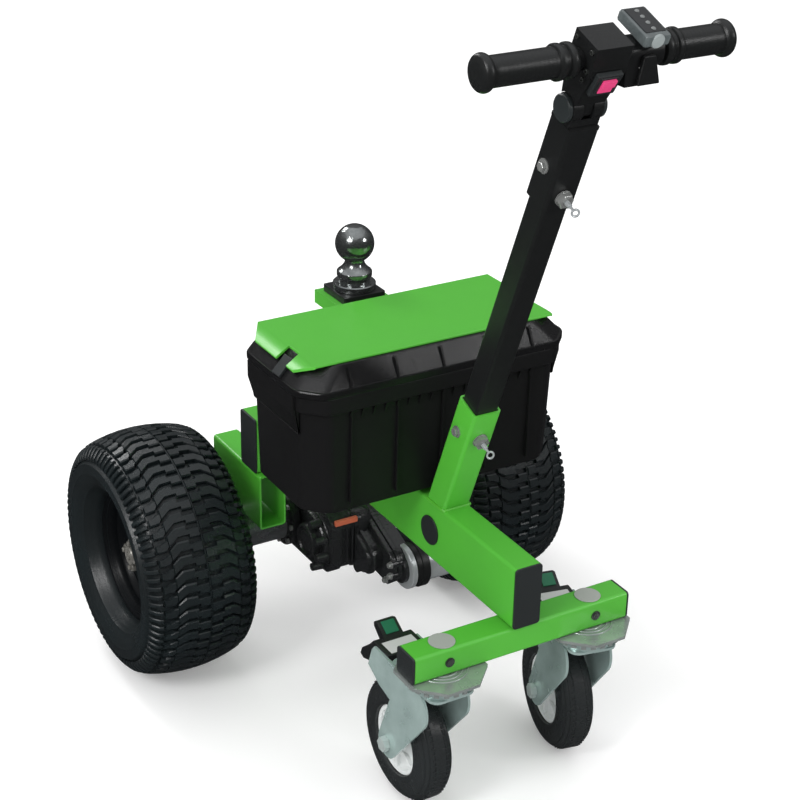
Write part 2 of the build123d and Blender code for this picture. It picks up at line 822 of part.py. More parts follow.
# Tilt pivot: pin through the knuckle with a round black cap at each end
with BuildPart() as tilt_pivot:
    with BuildSketch(column_side(-barrel_w / 2 - face_gap, barrel_s)):
        Circle(pivot_pin_r)
    extrude(amount=barrel_w + 2 * face_gap)
    for side in (-1, 1):
        with BuildSketch(column_side(side * (barrel_w / 2 + face_gap), barrel_s)):
            Circle(pivot_cap_r)
        extrude(amount=side * pivot_cap_t)
save(tilt_pivot, "tilt_pivot")

# Handlebar tube with rubber grips: a bulb at the outer end, two rings at the inner
bar_centre = on_column(bar_s).origin
with BuildPart() as handlebar:
    with BuildSketch(column_side(grip_seat - bar_left, bar_s)):
        Circle(bar_r)
        Circle(bar_r - column_wall, mode=Mode.SUBTRACT)
    extrude(amount=bar_left + bar_right - 2 * grip_seat)
save(handlebar, "handlebar")

for name, side, reach, grip_l in (
    ("grip_left", -1, bar_left, left_grip_l),
    ("grip_right", 1, bar_right, right_grip_l),
):
    with BuildPart() as grip:
        with BuildSketch(facing_operator(bar_centre.Y, bar_centre.Z, side * reach)):
            with BuildLine():
                inward = -side
                bulb_end = inward * grip_end_l
                seat = inward * grip_seat
                ring_l = inward * grip_collar_l / 3
                inner = inward * grip_l
                Line((0, 0), (0, grip_flange_r - grip_seat))
                ThreePointArc(
                    (0, grip_flange_r - grip_seat), (bulb_end / 2, grip_flange_r), (bulb_end, grip_r)
                )
                Polyline(
                    (bulb_end, grip_r),
                    (inner - 3 * ring_l, grip_r),
                    (inner - 3 * ring_l, grip_collar_r),
                    (inner - 2 * ring_l, grip_collar_r),
                    (inner - 2 * ring_l, grip_r),
                    (inner - ring_l, grip_r),
                    (inner - ring_l, grip_collar_r),
                    (inner, grip_collar_r),
                    (inner, bar_r),
                    (seat, bar_r),
                    (seat, 0),
                    (0, 0),
                )
            make_face()
        revolve(axis=Axis((0, bar_centre.Y, bar_centre.Z), (1, 0, 0)))
    save(grip, name)

# Rocker switch in a small housing on the front of the neck
flank_base = on_column(barrel_s + neck_low, forward=neck_front).origin
flank_top = on_column(bar_s - head_under, forward=head_front).origin
switch_plane = Plane(
    origin=(flank_base + flank_top) / 2,
    x_dir=(1, 0, 0),
    z_dir=Vector(1, 0, 0).cross(flank_top - flank_base),
)
with BuildPart() as switch_housing:
    with BuildSketch(switch_plane):
        RectangleRounded(switch_w, switch_h, tube_wall / 2)
    extrude(amount=switch_d)
save(switch_housing, "switch_housing")

with BuildPart() as rocker_switch:
    with BuildSketch(switch_plane.offset(switch_d)):
        with Locations((rocker_x, 0)):
            RectangleRounded(rocker_w, rocker_h, tube_wall / 2)
    extrude(amount=rocker_d)
save(rocker_switch, "rocker_switch")

# Throttle clamp on the bar with its lug, the thumb lever and the battery meter
throttle_start = throttle_x - throttle_body_w / 2
with BuildPart() as throttle_body:
    with BuildSketch(column_side(throttle_start, bar_s)):
        Circle(throttle_body_r)
    extrude(amount=throttle_body_w)
    lug_start = throttle_start - throttle_lug_w / 4
    with BuildSketch(facing_right(lug_start, bar_centre.Y, bar_centre.Z)):
        Rectangle(throttle_body_r, bar_r + throttle_lug_l, align=(Align.MAX, Align.MAX))
    extrude(amount=throttle_lug_w)
    with BuildSketch(column_side(lug_start, bar_s)):
        Circle(bar_r)
    extrude(amount=throttle_body_w + throttle_lug_w, mode=Mode.SUBTRACT)
save(throttle_body, "throttle_body")

with BuildPart() as throttle_meter:
    with BuildSketch(on_column(bar_s + throttle_body_r)):
        with Locations((meter_x, meter_back)):
            RectangleRounded(meter_w, meter_d, tube_wall)
    extrude(amount=meter_h)
save(throttle_meter, "throttle_meter")

with BuildPart() as thumb_lever:
    with BuildSketch(facing_operator(bar_centre.Y - throttle_body_r, bar_centre.Z, throttle_x)):
        Polygon(
            (-thumb_lever_top / 2, 0),
            (thumb_lever_top / 2, 0),
            (thumb_lever_end / 2, -thumb_lever_l),
            (-thumb_lever_end / 2, -thumb_lever_l),
            align=None,
        )
    extrude(amount=thumb_lever_t)
save(thumb_lever, "thumb_lever")

# Drive wheels: turf tyre on a dished steel rim, with a hub and short shaft
for name, side in (("left", -1), ("right", 1)):
    wheel_x = side * track / 2
    wheel_axis = Axis((0, axle_y, axle_z), (1, 0, 0))
    half_tyre = tyre_w / 2
    half_bead = bead_w / 2
    tyre_r = tyre_d / 2
    lip_end = half_bead + rim_wall
    lip_top = bead_r + rim_lip
    bulge_r = lip_top + tyre_bulge_share * (tyre_r - lip_top)
    side_span = half_tyre - lip_end
    side_r = (side_span**2 + (bulge_r - lip_top) ** 2) / (2 * side_span)
    shoulder_x = half_tyre - side_r + side_r * cos(radians(shoulder_angle))
    shoulder_y = bulge_r + side_r * sin(radians(shoulder_angle))
    with BuildPart() as drive_tyre:
        with BuildSketch(facing_operator(axle_y, axle_z, wheel_x)):
            with BuildLine():
                Polyline(
                    (-lip_end, lip_top),
                    (-half_bead, lip_top),
                    (-half_bead, bead_r),
                    (half_bead, bead_r),
                    (half_bead, lip_top),
                    (lip_end, lip_top),
                )
                ThreePointArc((lip_end, lip_top), (half_tyre, bulge_r), (shoulder_x, shoulder_y))
                ThreePointArc((shoulder_x, shoulder_y), (0, tyre_r), (-shoulder_x, shoulder_y))
                ThreePointArc((-shoulder_x, shoulder_y), (-half_tyre, bulge_r), (-lip_end, lip_top))
            make_face()
        revolve(axis=wheel_axis)
    save(drive_tyre, f"drive_tyre_{name}")

    with BuildPart() as drive_rim:
        with BuildSketch(facing_operator(axle_y, axle_z, wheel_x)):
            with Locations((0, bead_r - rim_wall / 2)):
                Rectangle(bead_w, rim_wall)
            for lip in (-1, 1):
                with Locations((lip * (half_bead + rim_wall / 2), lip_top)):
                    Rectangle(rim_wall, rim_lip + rim_wall, align=(Align.CENTER, Align.MAX))
            with Locations((side * dish_inset, (hub_r + bead_r) / 2)):
                Rectangle(rim_wall, bead_r - hub_r)
        revolve(axis=wheel_axis)
    save(drive_rim, f"drive_rim_{name}")

    with BuildPart() as drive_hub:
        with BuildSketch(facing_right(wheel_x + side * hub_face, axle_y, axle_z)):
            Circle(hub_r)
        extrude(amount=-side * (hub_face + half_bead))
        with BuildSketch(facing_right(wheel_x - side * half_bead, axle_y, axle_z)):
            Circle(shaft_r)
        extrude(amount=-side * (track / 2 - half_bead - axle_tube_end + bearing_l - face_gap))
        with BuildSketch(facing_right(wheel_x + side * hub_face, axle_y, axle_z)):
            with PolarLocations(hub_r - hub_nut_r - rim_wall, hub_nut_count):
                RegularPolygon(hub_nut_r, 6)
        extrude(amount=side * hub_nut_h)
    save(drive_hub, f"drive_hub_{name}")

# Casters: an octagonal swivel plate, a fork, a wheel and a foot brake each
with BuildPart() as caster_plates:
    for side in (-1, 1):
        with BuildSketch(Plane.XY.offset(octagon_base)):
            with Locations((side * caster_spread, cross_y)):
                RegularPolygon(octagon_w / 2, 8, major_radius=False, rotation=180 / 8)
        extrude(amount=octagon_t)
        with BuildSketch(Plane.XY.offset(octagon_base)):
            with Locations((side * caster_spread, cross_y)):
                Circle(lock_ring_r)
                Circle(lock_ring_r - lock_ring_t, mode=Mode.SUBTRACT)
        extrude(amount=-lock_ring_h)
        with BuildSketch(Plane.XY.offset(octagon_base - lock_ring_h)):
            with Locations((side * caster_spread, cross_y)):
                with PolarLocations(lock_ring_r - lock_ring_t / 2, lock_teeth):
                    Rectangle(3 * lock_ring_t, lock_ring_r * 3 / lock_teeth)
        extrude(amount=lock_ring_h / 2, mode=Mode.SUBTRACT)
        with BuildSketch(Plane.XY.offset(octagon_base)):
            with Locations((side * caster_spread, cross_y)):
                Circle(kingpin_r)
        extrude(amount=-(octagon_base - fork_top) - fork_t)
save(caster_plates, "caster_plates")

# Rear of the fork's leg, as shares of the trail (back from the swivel) and of
# the leg's height (up from the wheel's axle)
leg_shares = [
    (0.00, 1.00),
    (1.50, 1.00),
    (1.58, 0.94),
    (1.70, 0.73),
    (1.30, 0.61),
    (0.93, 0.56),
    (1.24, 0.10),
    (1.00, 0.00),
]
leg_h = fork_top - caster_axle_z

# Foot brake outlines, as shares of the pedal's length and height
pedal_shares = [
    (0.00, 0.00),
    (0.00, 1.00),
    (0.55, 1.00),
    (0.68, 0.73),
    (0.94, 0.32),
    (1.00, 0.05),
    (0.88, -0.05),
    (0.62, 0.11),
]
tab_shares = [(0.42, 1.00), (0.77, 1.38), (0.88, 1.30), (0.86, 1.13), (0.59, 0.73)]

for name, side, swing in (("left", -1, 0.0), ("right", 1, -12.0)):
    turn = radians(swing)
    cross_dir = (cos(turn), sin(turn), 0)
    trail_dir = (-sin(turn), cos(turn), 0)
    pivot = Vector(side * caster_spread, cross_y, 0)

    def beside(offset, z=0.0):
        """Plane facing along the caster's own axle, X pointing back along its trail."""
        origin = pivot + Vector(*cross_dir) * offset + Vector(0, 0, z)
        return Plane(origin=origin, x_dir=trail_dir, z_dir=cross_dir)

    axle_centre = pivot + Vector(*trail_dir) * caster_trail + Vector(0, 0, caster_axle_z)
    axle_axis = Axis(axle_centre, cross_dir)
    wheel_plane = Plane(origin=axle_centre, x_dir=cross_dir, z_dir=-Vector(*trail_dir))
    fork_plane = Plane(origin=pivot + Vector(0, 0, fork_top), x_dir=cross_dir, z_dir=(0, 0, 1))

    with BuildPart() as caster_fork:
        for hand in (-1, 1):
            with BuildSketch(beside(hand * leg_inner)):
                with Locations((fork_lobe_back, fork_top - fork_lobe_r)):
                    Circle(fork_lobe_r)
                with Locations((caster_trail, caster_axle_z)):
                    Circle(fork_boss_r)
                make_hull()
                leg_points = [(t * caster_trail, caster_axle_z + h * leg_h) for t, h in leg_shares]
                Polygon(*leg_points, align=None)
                with Locations((caster_trail, caster_axle_z)):
                    Circle(caster_bolt_r, mode=Mode.SUBTRACT)
            extrude(amount=hand * fork_t)
        with BuildSketch(fork_plane):
            with Locations((0, caster_trail / 4)):
                RectangleRounded(2 * leg_outer, 3 / 2 * caster_trail, fork_corner_r)
        extrude(amount=-fork_t)
        with BuildSketch(fork_plane):
            Circle(race_r)
        extrude(amount=octagon_base - fork_top - face_gap)
        with BuildSketch(fork_plane.offset(octagon_base - fork_top)):
            Circle(kingpin_r + running_fit)
        extrude(amount=-(octagon_base - fork_top) - 2 * fork_t, mode=Mode.SUBTRACT)
    save(caster_fork, f"caster_fork_{name}")

    with BuildPart() as caster_axle:
        with BuildSketch(beside(-leg_outer)):
            with Locations((caster_trail, caster_axle_z)):
                Circle(caster_bolt_r)
        extrude(amount=2 * leg_outer)
        for hand in (-1, 1):
            with BuildSketch(beside(hand * leg_outer)):
                with Locations((caster_trail, caster_axle_z)):
                    RegularPolygon(caster_bolt_head_r, 6)
            extrude(amount=hand * caster_bolt_head_t)
    save(caster_axle, f"caster_axle_{name}")

    with BuildPart() as brake_pedal:
        for width, shares in ((pedal_w, pedal_shares), (pedal_tab_w, tab_shares)):
            with BuildSketch(beside(-width / 2)):
                Polygon(
                    *[
                        (pedal_start + t * (pedal_reach - pedal_start), pedal_base + h * pedal_h)
                        for t, h in shares
                    ],
                    align=None,
                )
            extrude(amount=width)
    save(brake_pedal, f"brake_pedal_{name}")

    with BuildPart() as caster_tyre:
        with BuildSketch(wheel_plane):
            with Locations((0, (caster_rim_r + caster_axle_z) / 2)):
                Rectangle(caster_tyre_w, caster_axle_z - caster_rim_r)
            tyre_corners = vertices().filter_by_position(Axis.Y, caster_rim_r + tube_wall, caster_tyre_d)
            fillet(tyre_corners, caster_tread_r)
        revolve(axis=axle_axis)
    save(caster_tyre, f"caster_tyre_{name}")

    with BuildPart() as caster_hub:
        with BuildSketch(wheel_plane):
            with Locations((0, caster_rim_r / 2)):
                Rectangle(caster_hub_w, caster_rim_r)
            with Locations((0, caster_boss_r / 2)):
                Rectangle(2 * (leg_inner - face_gap), caster_boss_r)
            with Locations((0, (caster_bolt_r + running_fit) / 2)):
                Rectangle(caster_tyre_w * 2, caster_bolt_r + running_fit, mode=Mode.SUBTRACT)
        revolve(axis=axle_axis)
    save(caster_hub, f"caster_hub_{name}")
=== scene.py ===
import bmesh
import bpy
import json
from math import acos, atan2, cos, pi, radians, sin, sqrt
from mathutils import Matrix, Vector

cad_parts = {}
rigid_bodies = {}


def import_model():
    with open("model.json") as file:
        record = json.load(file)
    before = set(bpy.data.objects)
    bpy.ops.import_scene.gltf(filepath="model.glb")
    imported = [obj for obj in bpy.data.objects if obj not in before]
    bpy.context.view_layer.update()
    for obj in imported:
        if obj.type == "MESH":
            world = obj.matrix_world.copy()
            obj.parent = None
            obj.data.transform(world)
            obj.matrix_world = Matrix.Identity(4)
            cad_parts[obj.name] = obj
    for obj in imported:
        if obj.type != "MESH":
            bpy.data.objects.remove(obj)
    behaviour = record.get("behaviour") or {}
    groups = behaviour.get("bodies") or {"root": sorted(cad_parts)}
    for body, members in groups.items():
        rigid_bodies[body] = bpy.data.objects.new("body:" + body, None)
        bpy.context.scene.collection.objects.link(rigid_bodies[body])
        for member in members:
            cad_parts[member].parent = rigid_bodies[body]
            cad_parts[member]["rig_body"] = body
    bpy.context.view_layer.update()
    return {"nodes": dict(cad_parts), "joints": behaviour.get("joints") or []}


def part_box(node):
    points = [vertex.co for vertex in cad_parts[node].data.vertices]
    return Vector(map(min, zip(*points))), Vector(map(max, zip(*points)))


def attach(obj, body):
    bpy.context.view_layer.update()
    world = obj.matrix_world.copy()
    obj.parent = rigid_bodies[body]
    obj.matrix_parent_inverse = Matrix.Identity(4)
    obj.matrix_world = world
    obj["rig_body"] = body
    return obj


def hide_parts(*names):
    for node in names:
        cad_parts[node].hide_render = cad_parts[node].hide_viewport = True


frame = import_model()
scene = bpy.context.scene

# Camera
# The photograph's own viewpoint: a long lens from the front left of the machine,
# looking down on it, with the small roll of a hand-held shot.


def axes_matrix(place, x_axis, y_axis, z_axis):
    """Matrix that puts the origin at a place and X, Y and Z along three directions."""
    return Matrix.Translation(place) @ Matrix((x_axis, y_axis, z_axis)).transposed().to_4x4()


heading, dip, roll = radians(31.03), radians(25.84), radians(1.26)
wheel_low, wheel_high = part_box("drive_tyre_left")
axle_middle = Vector((0, (wheel_low.y + wheel_high.y) / 2, (wheel_low.z + wheel_high.z) / 2))
axle_y, axle_z = axle_middle.yz
look = Vector((sin(heading) * cos(dip), cos(heading) * cos(dip), -sin(dip)))
level = look.cross(Vector((0, 0, 1))).normalized()
upright = level.cross(look)
across = level * cos(roll) + upright * sin(roll)
rising = upright * cos(roll) - level * sin(roll)
camera_data = bpy.data.cameras.new("camera")
camera_data.sensor_width = 36
camera_data.lens = 81.9
camera_data.shift_y = -0.004
camera = bpy.data.objects.new("camera", camera_data)
camera.matrix_world = axes_matrix((-1.0729, axle_y - 1.9985, 1.4404), across, rising, -look)
scene.collection.objects.link(camera)
scene.camera = camera

# Floor and light
# A white paper floor in a bright room. Gloss mirrors a dark room with a pale
# ceiling and three soft boxes, so that black stays black and chrome has contrast.


def build_nodes(tree, nodes, links):
    """Add (name, type, settings) nodes to a tree, then link them by their sockets' names."""
    made = {node.name: node for node in tree.nodes}
    for name, kind, settings in nodes:
        node = made[name] = tree.nodes.new(kind)
        for key, value in settings.items():
            if key in node.inputs:
                node.inputs[key].default_value = value
            else:
                setattr(node, key, value)
    for source, output, target, entry in links:
        tree.links.new(made[source].outputs[output], made[target].inputs[entry])
    return made


scene.view_settings.view_transform = "Standard"
floor_reach = 6.0
floor_mesh = bpy.data.meshes.new("paper_floor")
floor_mesh.from_pydata(
    [(x * floor_reach, y * floor_reach, 0) for x, y in ((-1, -1), (1, -1), (1, 1), (-1, 1))], [],
    [(0, 1, 2, 3)]
)
floor = bpy.data.objects.new("paper_floor", floor_mesh)
scene.collection.objects.link(floor)
paper = bpy.data.materials.new("white_paper")
paper.use_nodes = True
paper_sockets = {
    "Roughness": 0.9, "Specular IOR Level": 0.0, "Emission Color": (1, 1, 1, 1), "Emission Strength": 0.16
}
for socket_name, value in paper_sockets.items():
    paper.node_tree.nodes["Principled BSDF"].inputs[socket_name].default_value = value
build_nodes(
    paper.node_tree,
    (
        ("fibre", "ShaderNodeTexNoise", {"Scale": 400}),
        ("tone", "ShaderNodeMapRange", {"To Min": 0.885, "To Max": 0.9}),
    ),
    (("fibre", "Fac", "tone", "Value"), ("tone", "Result", "Principled BSDF", "Base Color")),
)
floor_mesh.materials.append(paper)
floor.visible_glossy = False

world = bpy.data.worlds.new("studio")
scene.world = world
world.use_nodes = True
backdrop = world.node_tree.nodes["Background"]
backdrop.inputs["Color"].default_value = (1, 1, 1, 1)
backdrop.inputs["Strength"].default_value = 1.03
room_nodes = build_nodes(
    world.node_tree,
    (
        ("direction", "ShaderNodeTexCoord", {}),
        ("height", "ShaderNodeSeparateXYZ", {}),
        ("room", "ShaderNodeValToRGB", {}),
        ("mirrored", "ShaderNodeBackground", {}),
        ("ray", "ShaderNodeLightPath", {}),
        ("either", "ShaderNodeMixShader", {}),
    ),
    (
        ("direction", "Generated", "height", "Vector"),
        ("height", "Z", "room", "Fac"),
        ("room", "Color", "mirrored", "Color"),
        ("ray", "Is Glossy Ray", "either", "Fac"),
        ("Background", "Background", "either", 1),
        ("mirrored", "Background", "either", 2),
        ("either", "Shader", "World Output", "Surface"),
    ),
)
room_tones = room_nodes["room"].color_ramp.elements
room_tones[0].color = (0.03, 0.03, 0.032, 1)
room_tones[1].color = (0.8, 0.82, 0.84, 1)
for place, tone in ((0.3, 0.08), (0.55, 0.18), (0.7, 0.55)):
    room_tones.new(place).color = (tone, tone, tone * 1.03, 1)

for lamp_name, lamp_place, lamp_size, lamp_power in (
    ("soft_box_left", (-2.3, -0.9, 2.2), 0.9, 34),
    ("soft_box_right", (1.9, -2.4, 2.0), 0.5, 12),
    ("soft_box_back", (-0.5, 2.6, 2.3), 0.9, 24),
):
    lamp_data = bpy.data.lights.new(lamp_name, "AREA")
    lamp_data.energy = lamp_power
    lamp_data.size = lamp_size
    lamp = bpy.data.objects.new(lamp_name, lamp_data)
    lamp.location = lamp_place
    lamp.rotation_euler = (Vector((0, 0, 0.35)) - lamp.location).to_track_quat("-Z", "Y").to_euler()
    scene.collection.objects.link(lamp)

# Frame
# Welded from 38 mm green steel tube: a deep beam on edge, a cross beam for the
# casters, a rear cross tube over the axle with two open rails, and the receiver.
# Each part is powder coated, so its edges are soft and its colour barely varies.


def node_group(name, kind, inputs, outputs, nodes, links):
    """Node group with (name, type) sockets; its ends are the nodes called in and out."""
    tree = bpy.data.node_groups.new(name, kind)
    for in_out, sockets in (("INPUT", inputs), ("OUTPUT", outputs)):
        for socket_name, socket_type in sockets:
            tree.interface.new_socket(socket_name, in_out=in_out, socket_type="NodeSocket" + socket_type)
    build_nodes(tree, (("in", "NodeGroupInput", {}), ("out", "NodeGroupOutput", {})) + nodes, links)
    return tree


grain_group = node_group(
    "surface_grain", "ShaderNodeTree", (("Scale", "Float"), ("Patch Scale", "Float")),
    (("Height", "Float"), ("Patches", "Float")),
    (
        ("place", "ShaderNodeTexCoord", {}),
        ("fine", "ShaderNodeTexNoise", {"Detail": 3.0}),
        ("patches", "ShaderNodeTexNoise", {"Detail": 4.0}),
    ),
    (
        ("place", "Object", "fine", "Vector"), ("in", "Scale", "fine", "Scale"),
        ("fine", "Fac", "out", "Height"),
        ("place", "Object", "patches", "Vector"), ("in", "Patch Scale", "patches", "Scale"),
        ("patches", "Fac", "out", "Patches"),
    ),
)
dust_group = node_group(
    "settled_dust", "ShaderNodeTree", (("Amount", "Float"),), (("Mask", "Float"),),
    (
        ("place", "ShaderNodeTexCoord", {}),
        ("facing", "ShaderNodeNewGeometry", {}),
        ("up", "ShaderNodeSeparateXYZ", {}),
        ("speck", "ShaderNodeTexNoise", {"Scale": 900}),
        ("range", "ShaderNodeMapRange", {"From Min": 0.5, "From Max": 0.75}),
        ("both", "ShaderNodeMath", {"operation": "MULTIPLY", "use_clamp": True}),
        ("amount", "ShaderNodeMath", {"operation": "MULTIPLY"}),
    ),
    (
        ("place", "Object", "speck", "Vector"), ("facing", "Normal", "up", "Vector"),
        ("speck", "Fac", "range", "Value"), ("range", "Result", "both", 0), ("up", "Z", "both", 1),
        ("both", "Value", "amount", 0), ("in", "Amount", "amount", 1), ("amount", "Value", "out", "Mask"),
    ),
)


def surface(name, colour, patch_colour, roughness, grain, dust=0.0, patch_scale=12.0, **sockets):
    """Material with a fine grain, slow patches of a second colour and gloss, and dust."""
    material = bpy.data.materials.new(name)
    material.use_nodes = True
    material.diffuse_color = (*colour, 1)
    shader = material.node_tree.nodes["Principled BSDF"]
    for socket_name, value in sockets.items():
        shader.inputs[socket_name.replace("_", " ")].default_value = value
    texture = {"node_tree": grain_group, "Scale": grain[0], "Patch Scale": patch_scale}
    gloss = {"From Min": 0.3, "From Max": 0.7, "To Min": roughness[0], "To Max": roughness[1]}
    build_nodes(
        material.node_tree,
        (
            ("grain", "ShaderNodeGroup", texture),
            ("tone", "ShaderNodeMix", {"data_type": "RGBA", "A": (*colour, 1), "B": (*patch_colour, 1)}),
            ("dusty", "ShaderNodeMix", {"data_type": "RGBA", "B": (0.42, 0.41, 0.38, 1)}),
            ("film", "ShaderNodeGroup", {"node_tree": dust_group, "Amount": dust}),
            ("gloss", "ShaderNodeMapRange", gloss),
            ("relief", "ShaderNodeBump", {"Strength": 0.6, "Distance": grain[1]}),
        ),
        (
            ("grain", "Patches", "tone", "Factor"), ("film", "Mask", "dusty", "Factor"),
            ("tone", "Result", "dusty", "A"), ("dusty", "Result", "Principled BSDF", "Base Color"),
            ("grain", "Patches", "gloss", "Value"), ("gloss", "Result", "Principled BSDF", "Roughness"),
            ("grain", "Height", "relief", "Height"), ("relief", "Normal", "Principled BSDF", "Normal"),
        ),
    )
    return material


body_of = {node: piece["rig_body"] for node, piece in frame["nodes"].items()}
joint_of = {joint["name"]: joint for joint in frame["joints"]}


def finished_mesh(work):
    """Mesh made from a bmesh, which is freed."""
    mesh = bpy.data.meshes.new("part")
    work.to_mesh(mesh)
    work.free()
    return mesh


def modified_mesh(mesh, kind, inputs=(), **settings):
    """Mesh as one modifier leaves it, with the modifier's settings and node inputs."""
    holder = bpy.data.objects.new("holder", mesh)
    scene.collection.objects.link(holder)
    modifier = holder.modifiers.new("shape", kind)
    for key, value in settings.items():
        setattr(modifier, key, value)
    for key, value in inputs:
        modifier[key] = value
    result = bpy.data.meshes.new_from_object(holder.evaluated_get(bpy.context.evaluated_depsgraph_get()))
    bpy.data.objects.remove(holder)
    return result


def joined_mesh(meshes):
    """One mesh holding all the given ones."""
    work = bmesh.new()
    for mesh in meshes:
        work.from_mesh(mesh)
    return finished_mesh(work)


def add_piece(name, meshes, material, body, smooth_angle=32.0, stands_for=()):
    """Link meshes as a piece: outward faces, soft shading, its finish and its body."""
    work = bmesh.new()
    work.from_mesh(joined_mesh(meshes))
    bmesh.ops.remove_doubles(work, verts=work.verts, dist=1e-6)
    bmesh.ops.recalc_face_normals(work, faces=work.faces)
    mesh = finished_mesh(work)
    mesh.materials.append(material)
    for face in mesh.polygons:
        face.material_index = 0
        face.use_smooth = True
    mesh.set_sharp_from_angle(angle=radians(smooth_angle))
    piece = bpy.data.objects.new(name, modified_mesh(mesh, "WEIGHTED_NORMAL", keep_sharp=True))
    piece.data.name = name
    scene.collection.objects.link(piece)
    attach(piece, body)
    if stands_for:
        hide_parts(*stands_for)
    return piece


def replace_node(name, meshes, material, node, smooth_angle=32.0):
    """Stand meshes in for one CAD node, on its body and with its finish."""
    add_piece(name, meshes, material, body_of[node], smooth_angle, (node,))


def dress(node, material, soft_edge=0.0, smooth_angle=32.0):
    """Stand in for a CAD node with its own mesh, merged and flattened, its sharp edges softened."""
    work = bmesh.new()
    work.from_mesh(frame["nodes"][node].data)
    bmesh.ops.remove_doubles(work, verts=work.verts, dist=2e-5)
    bmesh.ops.dissolve_limit(work, angle_limit=radians(1.0), verts=work.verts, edges=work.edges)
    mesh = finished_mesh(work)
    if soft_edge:
        mesh = modified_mesh(
            mesh, "BEVEL", width=soft_edge, segments=2, limit_method="ANGLE", angle_limit=radians(40),
            use_clamp_overlap=True, miter_outer="MITER_ARC",
        )
    replace_node(node + "_skin", [mesh], material, node, smooth_angle)


green_coat = surface(
    "green_powder_coat", (0.08, 0.425, 0.036), (0.067, 0.38, 0.03), (0.3, 0.4),
    (900, 0.0002), 0.03, Coat_Weight=0.15, Coat_Roughness=0.2
)
for node in ("main_beam", "cross_beam", "rear_cross_tube"):
    dress(node, green_coat, 0.0006)
for node in ("axle_rails", "receiver_tube"):
    dress(node, green_coat, 0.0008)

# Black end caps and grey stem plugs
# Pushed-in polythene caps close every open tube end, and two pale grey plugs
# cover the caster stems on the cross beam.
cap_plastic = surface(
    "black_cap_plastic", (0.021, 0.025, 0.026), (0.015, 0.018, 0.019), (0.38, 0.5),
    (1400, 0.0003), 0.04, Specular_IOR_Level=0.45
)
for node in ("main_beam_cap", "cross_beam_caps", "rear_tube_caps", "beam_side_plugs"):
    dress(node, cap_plastic, 0.0012)
plug_plastic = surface(
    "grey_plug_plastic", (0.34, 0.36, 0.33), (0.28, 0.3, 0.28), (0.5, 0.6),
    (1200, 0.0003), 0.06
)
dress("stem_plugs", plug_plastic, 0.0006)

# Weld beads
# Each upright tube is welded all round its foot, and the beads are coated green
# with the tubes; their ripples are the welder's regular stops.
weld_coat = surface("coated_weld", (0.09, 0.43, 0.035), (0.065, 0.35, 0.025), (0.32, 0.45), (600, 0.0004))
bead_r, bead_sides, ripple_l = 0.0026, 8, 0.0034
square_corners = ((-1, -1), (1, -1), (1, 1), (-1, 1))


def weld_bead(name, corners):
    """Rippled bead along a closed run of points."""
    work = bmesh.new()
    rings = []
    for start, end in zip(corners, corners[1:] + corners[:1]):
        steps = max(2, round((end - start).length / ripple_l * 2))
        along = (end - start).normalized()
        side = along.orthogonal().normalized()
        other = along.cross(side)
        for step in range(steps):
            size = bead_r * (1.0 if step % 2 else 0.86)
            turns = (2 * pi * k / bead_sides for k in range(bead_sides))
            place = start.lerp(end, step / steps)
            rings.append(
                [work.verts.new(place + size * (side * cos(turn) + other * sin(turn))) for turn in turns]
            )
    for ring, following in zip(rings, rings[1:] + rings[:1]):
        shift = min(range(bead_sides), key=lambda s: (following[s].co - ring[0].co).length)
        for k in range(bead_sides):
            first, second = (k + shift) % bead_sides, (k + shift + 1) % bead_sides
            work.faces.new((ring[k], ring[(k + 1) % bead_sides], following[second], following[first]))
    add_piece(name, [finished_mesh(work)], weld_coat, "frame", 60)


beam_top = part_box("main_beam")[1].z
receiver_centre = sum(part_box("receiver_tube"), Vector()) / 2
tube_half = 0.032
weld_bead(
    "receiver_weld",
    [
        Vector((x * tube_half, receiver_centre.y + y * tube_half, beam_top + 0.0005))
        for x, y in square_corners
    ],
)

# Column socket
# A square socket of green tube leans forward from the beam's top and is welded
# all round; the black column slides in it.
up_column = Vector(joint_of["column_slide"]["axis"]).normalized()
off_column = Vector((0, up_column.z, -up_column.y))
tilt_place = Vector(joint_of["handle_tilt"]["pos_m"])
foot_place = tilt_place - up_column * ((tilt_place.z - beam_top) / up_column.z)


def at_column(x, back, along):
    """Point at a distance along the column from the beam's top, back from its middle."""
    return foot_place + up_column * along + off_column * back + Vector((x, 0, 0))


dress("column_socket", green_coat, 0.0006)
socket_half = 0.019
weld_bead(
    "socket_weld",
    [
        at_column(x * socket_half, y * socket_half, y * socket_half * up_column.y / up_column.z)
        for x, y in square_corners
    ],
)

# Ball, post and cross pin
# The receiver holds a black square post with a plate; the 50.8 mm chromed ball is
# turned in one piece with its ring and collar, and a pin keeps the post in.


def skin_mesh(rings, loop=False):
    """Closed skin over rings of points, capped or joined in a loop; one point is a pole."""
    work = bmesh.new()
    rings = [[work.verts.new(point) for point in ring] for ring in rings]
    for lower, upper in zip(rings, rings[1:] + rings[:1] * loop):
        count = max(len(lower), len(upper))
        for k in range(count):
            following = (k + 1) % count
            corners = [lower[k % len(lower)], lower[following % len(lower)]]
            corners += [upper[following % len(upper)], upper[k % len(upper)]]
            work.faces.new(list(dict.fromkeys(corners)))
    for ring in (rings[0], rings[-1]):
        if len(ring) > 2 and not loop:
            work.faces.new(ring)
    return finished_mesh(work)


def circle(radius, z, count):
    """Points of a level circle round the Z axis, or its middle alone."""
    if not radius:
        return [(0, 0, z)]
    return [(radius * cos(2 * pi * k / count), radius * sin(2 * pi * k / count), z) for k in range(count)]


def turned_mesh(profile, segments, loop=False):
    """Solid of revolution about the Z axis from (radius, height) points."""
    return skin_mesh([circle(radius, z, segments) for radius, z in profile], loop)


def placed_mesh(mesh, matrix):
    """Copy of a mesh carried by a matrix."""
    copy = mesh.copy()
    copy.transform(matrix)
    return copy


